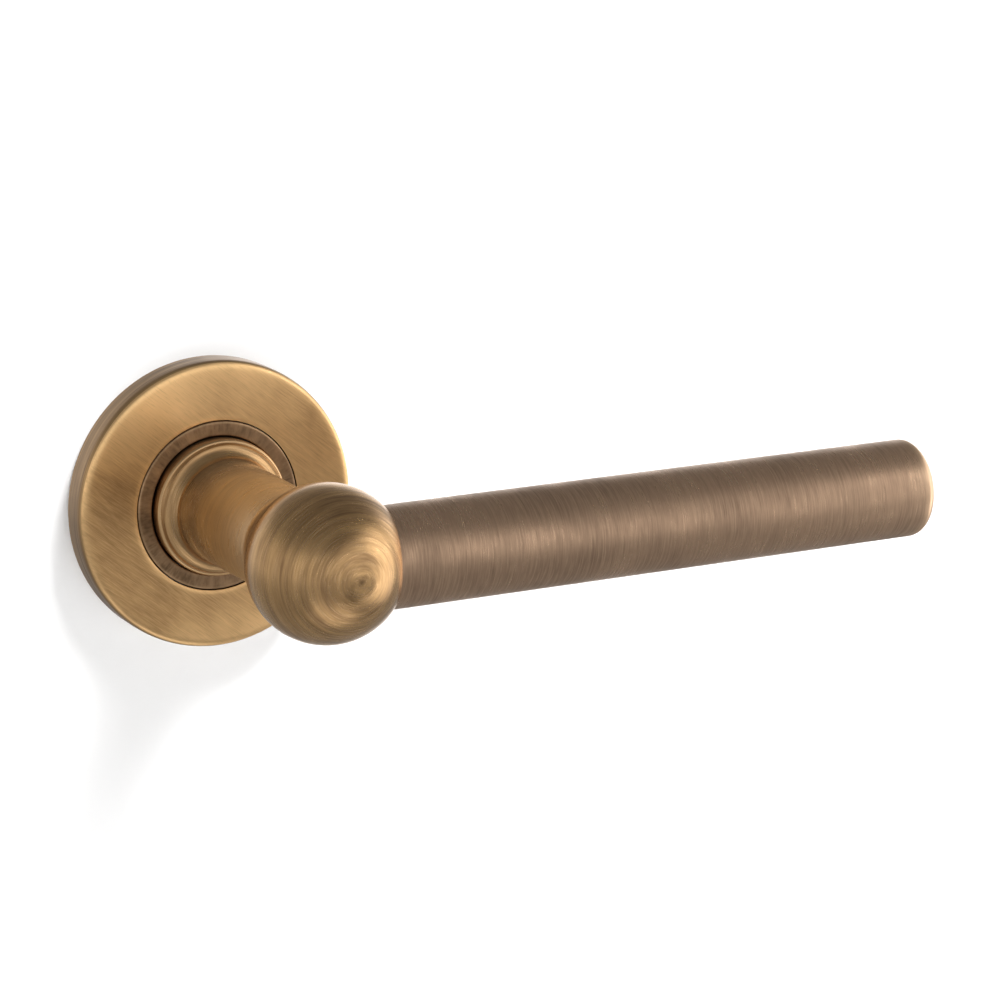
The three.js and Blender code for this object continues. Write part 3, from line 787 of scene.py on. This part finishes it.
def grub_hole_cutter():
    """The grub screw's hole, opened towards the underside with a small countersink."""
    centre_y = (GRUB_LOW.y + GRUB_HIGH.y) / 2
    radius = GRUB_HIGH.x + 0.12
    mouth = NECK_COLLAR_END_R + 2
    cone = 1.65
    profile = [(0, 0, 0), (radius, 0, 0), (radius, NECK_COLLAR_END_R - 0.3, 0),
               (radius + cone, mouth, 0), (0, mouth, 0)]
    cutter = lathe("cutter", profile, SMALL)
    turned(cutter, lambda x, y, z: (x, z + centre_y * MM, -y))
    return cutter


def make_grip_bar():
    length = GRIP_END - GRIP_START
    stud_r = STUD_HIGH.z + FIT
    depth = STUD_HIGH.x - GRIP_START + 0.5
    profile = [(0, depth, 0), (stud_r, depth, 0), (stud_r, 0, 0), (GRIP_R - 0.2, 0, 0),
               (GRIP_R, 0.2, 0)]
    profile += [(GRIP_R, x, 0.0) for x in (8.0, 60.0, length - 6.0)]
    # The end edge is worn bright, partly a painted highlight.
    profile += [(GRIP_R, length - GRIP_EDGE - 1.0, 0.12)]
    profile += arc(GRIP_R - GRIP_EDGE, length - GRIP_EDGE, GRIP_EDGE, 0, 90, 14, 0.5)
    profile += [(GRIP_R - GRIP_EDGE - 1.2, length, 0.1), (2.5, length, 0.0), (0, length, 0.0)]
    bar = lathe("round_grip_bar", profile, FINE, axis="X", centre=(GRIP_START, GRIP_Y, 0))
    finished(bar, "lever", "grip_bar", grip_brass(), 30)


# ---- Fastenings

def threaded(name, head, radius, depth, pitch, start, end, taper, tip):
    """A threaded rod about Y from start to end: its radius follows the helix. The head's
    profile comes before start, and the last taper of the length narrows to the tip."""
    sides, rows_per_turn = 36, 7
    rows = max(8, int((end - start) / pitch * rows_per_turn))
    verts, wear_and_painted_light = [], []
    rings = [add_ring(verts, wear_and_painted_light, y, [(r, mark)] * sides) for r, y, mark in head]
    for row in range(rows + 1):
        y = start + (end - start) * row / rows
        left = end - y
        shrink = min(1.0, left / taper * (1 - tip) + tip)
        fade = min(1.0, (y - start) / pitch, left / pitch + 0.02)
        points = []
        for k in range(sides):
            phase = (y / pitch + k / sides) % 1.0
            groove = depth * (1 - abs(2 * phase - 1)) * max(0.0, fade)
            points.append(((radius - groove) * shrink, 0.5 - groove / depth))
        rings.append(add_ring(verts, wear_and_painted_light, y, points))
    faces = bridged(zip(rings, rings[1:]))
    faces += [rings[0][::-1], rings[-1]]
    return object_with_wear_and_light(name, [Vector(v) * MM for v in verts], faces, wear_and_painted_light)


def cross_recess(width, length, depth):
    """Two crossed slots, sunk from the head's outer face towards +Y."""
    half, reach = width / 2, length / 2
    return [
        box_cutter((-reach, -1, -half), (reach, depth, half)),
        box_cutter((-half, -1, -reach), (half, depth, reach)),
    ]


def moved(piece, x, y, z, flip=False):
    """Shifts a piece's mesh, in millimetres, turned end for end first if flip is set."""
    for vert in piece.data.vertices:
        here = vert.co.copy()
        if flip:
            here = Vector((here.x, -here.y, -here.z))
        vert.co = here + Vector((x, y, z)) * MM


def make_countersunk(name, node, steel, radius, shank, cross, **thread):
    """A bolt or screw with a coned head, so much bare shank under it, and a cross recess."""
    low, high = millimetres(node)
    x, z = centre_of(node)
    head_r = (high.x - low.x) / 2
    head = [(head_r - 0.25, 0, 0.3), (head_r, 0.2, 0.5), (head_r - 0.05, 0.35, 0.0),
            (radius, head_r - radius + 0.1, 0.0)]
    screw = threaded(name, head, radius, start=head_r - radius + shank, end=high.y - low.y,
                     **thread)
    boolean(screw, cross_recess(*cross))
    moved(screw, x, low.y, z)
    finished(screw, "rose", node, steel, 40)


def make_door_fixings(steel):
    for i in (1, 2):
        make_countersunk(f"m4_through_bolt_{i}", f"through_bolt_{i}", steel, BOLT_R, 4,
                         (0.9, 4, 1.3), depth=0.38, pitch=0.7, taper=0.5, tip=0.75)
    for i in (1, 2):
        make_countersunk(f"countersunk_wood_screw_{i}", f"wood_screw_{i}", steel, WOOD_SCREW_R,
                         3, (0.8, 3.6, 1.2), depth=0.5, pitch=1.35, taper=5.5, tip=0.04)


def make_cap_screws(steel):
    for i in (1, 2, 3):
        node = f"cap_screw_{i}"
        low, high = millimetres(node)
        x, z = centre_of(node)
        height, head_r, shank_r = 1.0, (high.x - low.x) / 2, 1.0
        profile = [(0, 0, 0.2), (head_r * 0.5, 0.05, 0.2), (head_r * 0.8, 0.2, 0.3),
                   (head_r, 0.55, 0.5), (head_r, height - 0.05, 0.0),
                   (head_r - 0.05, height, 0.0), (shank_r, height, -0.5),
                   (shank_r, high.y - low.y, 0), (0, high.y - low.y, 0)]
        screw = lathe(f"pan_head_screw_{i}", profile, SMALL)
        boolean(screw, cross_recess(0.5, 2, 0.5))
        moved(screw, x, high.y, z, flip=True)
        finished(screw, "rose", node, steel, 35)


def make_grub_screw(steel):
    length = GRUB_HIGH.z - GRUB_LOW.z
    radius = GRUB_HIGH.x
    screw = threaded("hex_socket_set_screw", [(radius - 0.4, 0, 0.4)], radius, depth=0.35,
                     pitch=0.8, start=0.35, end=length, taper=0.6, tip=0.8)
    socket_r, socket_depth = 1.45, 2
    boolean(screw, [rod_cutter(socket_r, -1, socket_depth, sides=6)])
    centre_y = (GRUB_LOW.y + GRUB_HIGH.y) / 2
    turned(screw, lambda x, y, z: (x, -z + centre_y * MM, y + GRUB_LOW.z * MM))
    finished(screw, "lever", "spindle_grub_screw", steel, 35)


def make_joint_stud(steel):
    radius = STUD_HIGH.z
    stud = threaded("threaded_joint_stud", [(radius - 0.7, 0, 0.3)], radius, depth=0.6,
                    pitch=1.25, start=0.3, end=STUD_HIGH.x - STUD_LOW.x, taper=0.8, tip=0.8)
    turned(stud, lambda x, y, z: (y + STUD_LOW.x * MM, -x + GRIP_Y * MM, z))
    finished(stud, "lever", "joint_stud", steel, 40)


# ---- Behind the rose

def around(radius, degrees):
    """(x, z) at an angle from +Z towards +X."""
    angle = math.radians(degrees)
    return radius * math.sin(angle), radius * math.cos(angle)


def countersunk_hole(x, z, radius, head_r, back):
    wide = head_r + FIT
    seat = HEAD_Y + FIT
    hole_r = radius + 0.2
    profile = [(0, HEAD_Y - 1, 0), (wide, HEAD_Y - 1, 0), (wide, seat, 0),
               (hole_r, seat + (head_r - radius), 0), (hole_r, back + 1, 0), (0, back + 1, 0)]
    return lathe("cutter", profile, SMALL, centre=(x, 0, z))


def sector(inner, outer, start, end, middle, half):
    """A block between two radii and two heights, round an angle from +Z towards +X."""
    steps = 12
    mesh = bpy.data.meshes.new("sector")
    verts, faces = [], []
    for i in range(steps + 1):
        degrees = middle - half + 2 * half * i / steps
        for r, y in ((inner, start), (outer, start), (outer, end), (inner, end)):
            x, z = around(r, degrees)
            verts.append(Vector((x, y, z)) * MM)
    for i in range(steps):
        a = 4 * i
        for k in range(4):
            k2 = (k + 1) % 4
            faces.append([a + k, a + k2, a + 4 + k2, a + 4 + k])
    last = 4 * steps
    faces.append([3, 2, 1, 0])
    faces.append([last, last + 1, last + 2, last + 3])
    mesh.from_pydata(verts, [], faces)
    return new_object("sector", facing_out(mesh))


def facing_out(mesh):
    """The mesh with its faces turned outwards."""
    shape = bmesh.new()
    shape.from_mesh(mesh)
    bmesh.ops.recalc_face_normals(shape, faces=shape.faces)
    shape.to_mesh(mesh)
    shape.free()
    return mesh


def plate_profile():
    """The plate's section: bush bore, seat, hub, web, threaded rim, back face and housing."""
    valley_r = PLATE_R - COVER_THREAD_DEPTH
    half = COVER_THREAD_PITCH / 2
    profile = [
        (BUSH_BORE_R, FLOOR_FRONT, 0), (RING_SLEEVE_R + FIT, FLOOR_FRONT, 0),
        (RING_SLEEVE_R + FIT, PLATE_FRONT, 0), (HUB_R, PLATE_FRONT, 0), (HUB_R, WEB_FRONT, 0),
        (RIM_IN_R, WEB_FRONT, 0), (RIM_IN_R, PLATE_FRONT, 0),
    ]
    for turn in range(COVER_THREAD_TURNS):
        crest = PLATE_FRONT + 0.5 + COVER_THREAD_PITCH * turn
        profile += [(valley_r, crest - half, 0.0), (PLATE_R, crest, 0.3)]
    profile += [
        (valley_r, crest + half, 0), (PLATE_R, -0.5, 0.2), (PLATE_R, 0, 0.3),
        (HOUSING_R + 0.3, 0, 0.0), (HOUSING_R, 0.3, 0.0), (HOUSING_R, HOUSING_END, 0.2),
        (HOUSING_BORE_R, HOUSING_END, 0.2), (HOUSING_BORE_R, FLOOR_BACK, 0),
        (BUSH_BORE_R, FLOOR_BACK, 0),
    ]
    return profile


def make_mounting_plate(zinc):
    plate = lathe("die_cast_plate", softened(plate_profile(), 0.15, True, 2), MEDIUM, True)
    joins, cuts = [], []
    bolt, screw = (BOLT_R, BOLT_HEAD_R), (WOOD_SCREW_R, WOOD_SCREW_HEAD_R)
    for node, (radius, head_r) in (("through_bolt_1", bolt), ("through_bolt_2", bolt),
                                   ("wood_screw_1", screw), ("wood_screw_2", screw)):
        x, z = centre_of(node)
        joins.append(rod_cutter(BOSS_R, HEAD_Y, WEB_FRONT / 2, centre=(x, 0, z)))
        back = 0
        if node.startswith("through_bolt"):
            back = POST_END
            post = softened([(0, WEB_FRONT / 2, 0), (POST_R, WEB_FRONT / 2, 0),
                             (POST_R, POST_END, 0), (0, POST_END, 0)], 0.35, False)
            joins.append(lathe("post", post, SMALL, centre=(x, 0, z)))
        cuts.append(countersunk_hole(x, z, radius, head_r, back))
    for node in CAP_SCREWS:
        x, z = centre_of(node)
        turn = math.degrees(math.atan2(x, z))
        outer = (HOUSING_BORE_R + HOUSING_R) / 2
        joins.append(sector(PILLAR_IN_R, outer, FLOOR_BACK - 1, HOUSING_END, turn, PILLAR_HALF))
        cuts.append(rod_cutter(CAP_SCREW_HOLE_R, 2, HOUSING_END + 1, centre=(x, 0, z)))
    boolean(plate, joins, "UNION")
    boolean(plate, cuts)
    finished(plate, "rose", "mounting_plate", zinc, 30)


def make_neck_bush(acetal):
    low, high = millimetres("neck_bush")
    bore, flange_back = SPIGOT_R + FIT, FLOOR_FRONT - FIT
    sleeve_r = bore + 1
    profile = softened([
        (bore, low.y, 0), (high.x, low.y, 0), (high.x, flange_back, 0),
        (sleeve_r, flange_back, 0), (sleeve_r, high.y, 0), (bore, high.y, 0),
    ], 0.2, True)
    bush = lathe("flanged_neck_bush", profile, MEDIUM, True)
    finished(bush, "rose", "neck_bush", acetal)


def make_wave_washer(steel):
    """Three shallow waves in a slim ring."""
    low, high = millimetres("wave_washer")
    inner, outer, waves, wave, thick = 9.2, high.x, 3, 0.12, 0.2
    middle = (low.y + high.y) / 2
    half = thick / 2
    section = softened([(inner, -half, 0), (outer, -half, 0), (outer, half, 0),
                        (inner, half, 0)], 0.05, True, 2)
    washer = lathe("spring_wave_washer", section, MEDIUM, True)
    for vert in washer.data.vertices:
        turn = math.atan2(vert.co.x, vert.co.z)
        vert.co.y += (middle + wave * math.sin(waves * turn)) * MM
    finished(washer, "lever", "wave_washer", steel, 35)


def make_thrust_washer(acetal):
    low, high = WASHER_LOW.y, WASHER_HIGH.y
    bore, outer = SPIGOT_R + FIT, WASHER_HIGH.x
    profile = softened([(bore, low, 0.3), (outer, low, 0.3), (outer, high, 0.3),
                        (bore, high, 0.3)], 0.12, True)
    washer = lathe("plastic_thrust_washer", profile, MEDIUM, True)
    finished(washer, "lever", "thrust_washer", acetal)


def extruded(name, outline, start, end):
    """A closed outline of (x, z) points, run from start to end along Y."""
    mesh = bpy.data.meshes.new(name)
    count = len(outline)
    verts = [Vector((x, y, z)) * MM for y in (start, end) for x, z in outline]
    faces = [list(range(count)), list(range(2 * count - 1, count - 1, -1))]
    for k in range(count):
        k2 = (k + 1) % count
        faces.append([k, k2, count + k2, count + k])
    mesh.from_pydata(verts, [], faces)
    return new_object(name, facing_out(mesh))


def make_circlip(steel):
    """External retaining ring: thickest opposite its opening, with a holed ear at each end."""
    inner, outer = GROOVE_R + FIT, CLIP_HIGH.x
    half_mouth, thinnest = 3.0, 1.0
    ear_r, hole_r, steps = 1.15, 0.5, 60
    ear_turn = math.degrees(math.asin(half_mouth / (outer - 0.4))) + 7.5
    back, front = [], []
    for i in range(steps + 1):
        turn = ear_turn + 1 + (358 - 2 * ear_turn) * i / steps
        share = 0.5 - 0.5 * math.cos(math.radians(turn))
        back.append(around(inner + thinnest + (outer - inner - thinnest) * share, 180 + turn))
        front.append(around(inner, 180 + turn))
    clip = extruded("external_circlip", back + front[::-1], CLIP_LOW.y, CLIP_HIGH.y)
    ears, holes = [], []
    for side in (-1, 1):
        x, z = around(outer - ear_r, 180 + side * ear_turn)
        ears.append(rod_cutter(ear_r, CLIP_LOW.y, CLIP_HIGH.y, centre=(x, 0, z), sides=32))
        holes.append(rod_cutter(hole_r, CLIP_LOW.y - 1, CLIP_HIGH.y + 1, centre=(x, 0, z),
                                sides=20))
    boolean(clip, ears, "UNION")
    boolean(clip, holes)
    bevelled(clip, 0.08, segments=2)
    finished(clip, "lever", "circlip", steel, 35)


def make_spring_cap(steel):
    low, high = CAP_LOW.y, CAP_HIGH.y
    profile = softened([(CAP_BORE_R, low, 0.2), (HOUSING_R, low, 0.3), (HOUSING_R, high, 0.4),
                        (CAP_BORE_R, high, 0.4)], 0.25, True)
    cap = lathe("spring_housing_cap", profile, FINE, True)
    spots = [(CAP_SCREW_HOLE_R, centre_of(node)) for node in CAP_SCREWS]
    spots.append((SPRING_LEG_HOLE_R, around(SPRING_R, SPRING_LEG)))
    boolean(cap, [rod_cutter(radius, low - 1, high + 1, centre=(x, 0, z), sides=32)
                  for radius, (x, z) in spots])
    finished(cap, "rose", "spring_cap", steel, 30)


def make_spring_driver(steel):
    """Cam on the spigot's flats, with a wing that meets the stops and a notch for the spring."""
    low, high = millimetres("spring_driver")
    body_r, wing_r, wing_turn, wing_half = 10.6, 11.8, -22.5, 13
    edge = softened([(0, low.y, 0), (body_r, low.y, 0.3), (body_r, high.y, 0.3),
                     (0, high.y, 0)], 0.15, False)
    driver = lathe("spring_driver_cam", edge, MEDIUM)
    wing = sector(body_r - 2, wing_r, low.y, high.y, wing_turn, wing_half)
    boolean(driver, [wing], "UNION")
    bore = rod_cutter(SPIGOT_R + FIT, low.y - 1, high.y + 1, sides=MEDIUM)
    flat, far = SPIGOT_FLAT_X + FIT, 20
    boolean(bore, [box_cutter((flat, low.y - 2, -far), (far, high.y + 2, far)),
                   box_cutter((-far, low.y - 2, -far), (-flat, high.y + 2, far))])
    notch_floor, notch_half = 0.6, 7
    notch = sector(SPRING_R - 0.8, body_r + 1, notch_floor, high.y + 1, SPRING_LEG - 1,
                   notch_half)
    boolean(driver, [bore, notch])
    finished(driver, "lever", "spring_driver", steel, 30)


def spring_points():
    """The wire's centre line: a leg into the driver, two turns, and a leg through the cap."""
    bend = 8  # degrees between each leg and the coil
    steps = 72 * SPRING_TURNS
    points = [(SPRING_LEG, 0.9), (SPRING_LEG, SPRING_FIRST - 0.8)]
    for i in range(steps + 1):
        share = i / steps
        sweep = (360 * SPRING_TURNS - 2 * bend) * share
        rise = (SPRING_LAST - SPRING_FIRST) * share
        points.append((SPRING_LEG - bend - sweep, SPRING_FIRST + rise))
    points += [(SPRING_LEG, SPRING_LAST + 1.3), (SPRING_LEG, CAP_HIGH.y)]
    return points


def make_return_spring(steel):
    """The coil winds between its front leg, on the lever's driver, and its leg in the cap."""
    curve = bpy.data.curves.new("return_spring_wire", "CURVE")
    curve.dimensions = "3D"
    curve.bevel_depth = SPRING_WIRE_R * MM
    curve.bevel_resolution = 4
    curve.use_fill_caps = True
    points = spring_points()
    line = curve.splines.new("NURBS")
    line.points.add(len(points) - 1)
    for point, (turn, y) in zip(line.points, points):
        x, z = around(SPRING_R, turn)
        point.co = (x * MM, y * MM, z * MM, 1)
    line.order_u = 3
    line.use_endpoint_u = True
    source = new_object("wire", curve)
    mesh = baked(source)
    bpy.data.objects.remove(source)
    spring = new_object("coiled_return_spring", mesh)
    smooth(spring, 40)
    spring.data.materials.append(steel)
    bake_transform(spring)
    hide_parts("return_spring")


def make_spindle(steel):
    half = SPINDLE_HALF
    bar = box_cutter((-half, SPINDLE_LOW.y, -half), (half, SPINDLE_HIGH.y, half))
    bar.name = "square_spindle"
    bevelled(bar, 0.6, segments=4)
    finished(bar, "lever", "spindle", steel, 30)


# ---- Stage

CAMERA_AZIMUTH = -28.056
CAMERA_ELEVATION = 13.995
CAMERA_DISTANCE = 0.6016
CAMERA_LENS = 121.385
CAMERA_AIM = Vector((46.338, -25.0, -0.22)) * MM


def direction(azimuth, elevation):
    """The unit vector from the object towards a place, with azimuth 0 at -Y and 90 at +X."""
    a, e = math.radians(azimuth), math.radians(elevation)
    return Vector((math.sin(a) * math.cos(e), -math.cos(a) * math.cos(e), math.sin(e)))


def looking_in(item, centre, towards, distance):
    """Places a camera or lamp at a distance from the centre, facing it."""
    item.location = centre + towards * distance
    item.rotation_mode = "QUATERNION"
    item.rotation_quaternion = (-towards).to_track_quat("-Z", "Y")


def make_camera():
    data = bpy.data.cameras.new("camera")
    data.sensor_width = 36
    data.lens = CAMERA_LENS
    data.clip_start = 0.01
    data.clip_end = 20
    camera = new_object("camera", data)
    looking_in(camera, CAMERA_AIM, direction(CAMERA_AZIMUTH, CAMERA_ELEVATION),
               CAMERA_DISTANCE)
    bpy.context.scene.camera = camera


def one_sided(name, shade, glow):
    """Pale matt surface that is seen only from its front, so no view is blocked from behind."""
    graph = Graph(name)
    graph.set(Base_Color=rgb(shade, shade, shade), Roughness=0.9)
    graph.set(Emission_Color=rgb(1, 1, 1), Emission_Strength=glow)
    side = graph.add("ShaderNodeNewGeometry").outputs["Backfacing"]
    clear = graph.add("ShaderNodeBsdfTransparent")
    either = graph.add("ShaderNodeMixShader")
    output = next(n for n in graph.tree.nodes if n.type == "OUTPUT_MATERIAL")
    graph.join(side, either.inputs[0])
    graph.join(graph.shader.outputs[0], either.inputs[1])
    graph.join(clear.outputs[0], either.inputs[2])
    graph.join(either.outputs[0], output.inputs["Surface"])
    return graph.material


def sheet(name, corners, material):
    """A flat stage surface that faces the side from which its corners run anticlockwise. It
    isn't reflected and casts no shadow."""
    mesh = bpy.data.meshes.new(name)
    mesh.from_pydata(corners, [], [[0, 1, 2, 3]])
    surface = new_object(name, mesh)
    mesh.materials.append(material)
    surface.visible_glossy = False
    surface.visible_shadow = False


STAGE_WIDE = 2.0
DOOR_FACE = 0.0002
FLOOR = -0.25
STAGE_SHADE = 0.8
WALL_GLOW = 0.12
FLOOR_GLOW = 0.45


def make_stage():
    wide = STAGE_WIDE
    sheet("door_face_backdrop", [(-wide, DOOR_FACE, FLOOR), (wide, DOOR_FACE, FLOOR),
                                 (wide, DOOR_FACE, wide), (-wide, DOOR_FACE, wide)],
          one_sided("pale_wall", STAGE_SHADE, WALL_GLOW))
    sheet("pale_floor", [(-wide, -wide, FLOOR), (wide, -wide, FLOOR), (wide, wide, FLOOR),
                         (-wide, wide, FLOOR)],
          one_sided("pale_ground", STAGE_SHADE, FLOOR_GLOW))


STUDIO_REACH = 1.0  # metres from the origin to each lamp
SOFTBOXES = (
    # name, azimuth, elevation, width, height, power
    ("upper_key", 60, 25, 0.6, 0.4, 1.45),
    ("middle_key", 66, 4, 0.6, 0.5, 1.35),
    ("lower_key", 65, -22, 0.6, 0.4, 1.85),
    ("side_softbox", 102, 5, 0.5, 0.8, 1.7),
    ("front_softbox", 15, 26, 0.6, 0.4, 0.35),
    ("floor_bounce", -10, -60, 0.8, 0.6, 1.4),
    ("rear_right_strip", 150, -10, 0.5, 1.0, 1.25),
    ("wall_wash", 50, 62, 0.5, 0.35, 30.0),
)
MATT_ONLY = ("wall_wash",)  # lights the wall behind, without a reflection in the metal


def make_lights():
    for name, azimuth, elevation, width, height, power in SOFTBOXES:
        data = bpy.data.lights.new(name, "AREA")
        data.shape = "RECTANGLE"
        data.size = width
        data.size_y = height
        data.energy = power
        lamp = new_object(name, data)
        looking_in(lamp, Vector(), direction(azimuth, elevation), STUDIO_REACH)
        lamp.visible_camera = False
        lamp.visible_glossy = name not in MATT_ONLY
        lamp.visible_diffuse = name in MATT_ONLY


# height and brightness
WORLD_BANDS = ((-0.3, 0.38), (-0.1, 1.02), (0.28, 1.02), (0.47, 0.28), (0.8, 0.2))


def make_world():
    """Pale to the camera; for light and reflections, a bright band round a dimmer room."""
    world = bpy.data.worlds.new("studio")
    bpy.context.scene.world = world
    world.use_nodes = True
    world.cycles_visibility.diffuse = False
    world.node_tree.nodes.clear()
    add = world.node_tree.nodes.new
    place = add("ShaderNodeTexCoord")
    parts = add("ShaderNodeSeparateXYZ")
    height = add("ShaderNodeMapRange")
    height.inputs["From Min"].default_value = -1
    bands = add("ShaderNodeValToRGB")
    bands.color_ramp.interpolation = "EASE"
    stops = bands.color_ramp.elements
    stops.remove(stops[1])
    for step, (level, shade) in enumerate(WORLD_BANDS):
        stop = stops[0] if step == 0 else stops.new((level + 1) / 2)
        stop.position = (level + 1) / 2
        stop.color = (shade, shade, shade, 1)
    seen = add("ShaderNodeLightPath")
    choice = add("ShaderNodeMix")
    choice.data_type = "RGBA"
    choice.inputs["B"].default_value = (1, 1, 1, 1)
    surround = add("ShaderNodeBackground")
    output = add("ShaderNodeOutputWorld")
    join = world.node_tree.links.new
    join(place.outputs["Generated"], parts.inputs[0])
    join(parts.outputs[2], height.inputs[0])
    join(height.outputs[0], bands.inputs[0])
    join(seen.outputs["Is Camera Ray"], choice.inputs["Factor"])
    join(bands.outputs[0], choice.inputs["A"])
    join(choice.outputs["Result"], surround.inputs["Color"])
    join(surround.outputs[0], output.inputs[0])


# ---- The whole scene

def make_handle():
    zinc = metal("cast_zinc", (0.42, 0.43, 0.44), 0.5, 1.0, 0.2)
    spring = metal("oiled_spring_steel", (0.2, 0.205, 0.21), 0.36)
    plated = metal("bright_plated_steel", (0.62, 0.63, 0.64), 0.28)
    acetal = moulded_acetal()
    make_rose_cover()
    make_bearing_ring()
    make_lever_neck()
    make_grip_bar()
    make_joint_stud(plated)
    make_grub_screw(spring)
    make_spindle(drawn_steel())
    make_mounting_plate(zinc)
    make_neck_bush(acetal)
    make_wave_washer(spring)
    make_spring_driver(plated)
    make_return_spring(spring)
    make_spring_cap(plated)
    make_cap_screws(plated)
    make_thrust_washer(acetal)
    make_circlip(spring)
    make_door_fixings(plated)


make_camera()
bpy.context.scene.view_settings.view_transform = "Standard"
make_stage()
make_lights()
make_world()
make_handle()
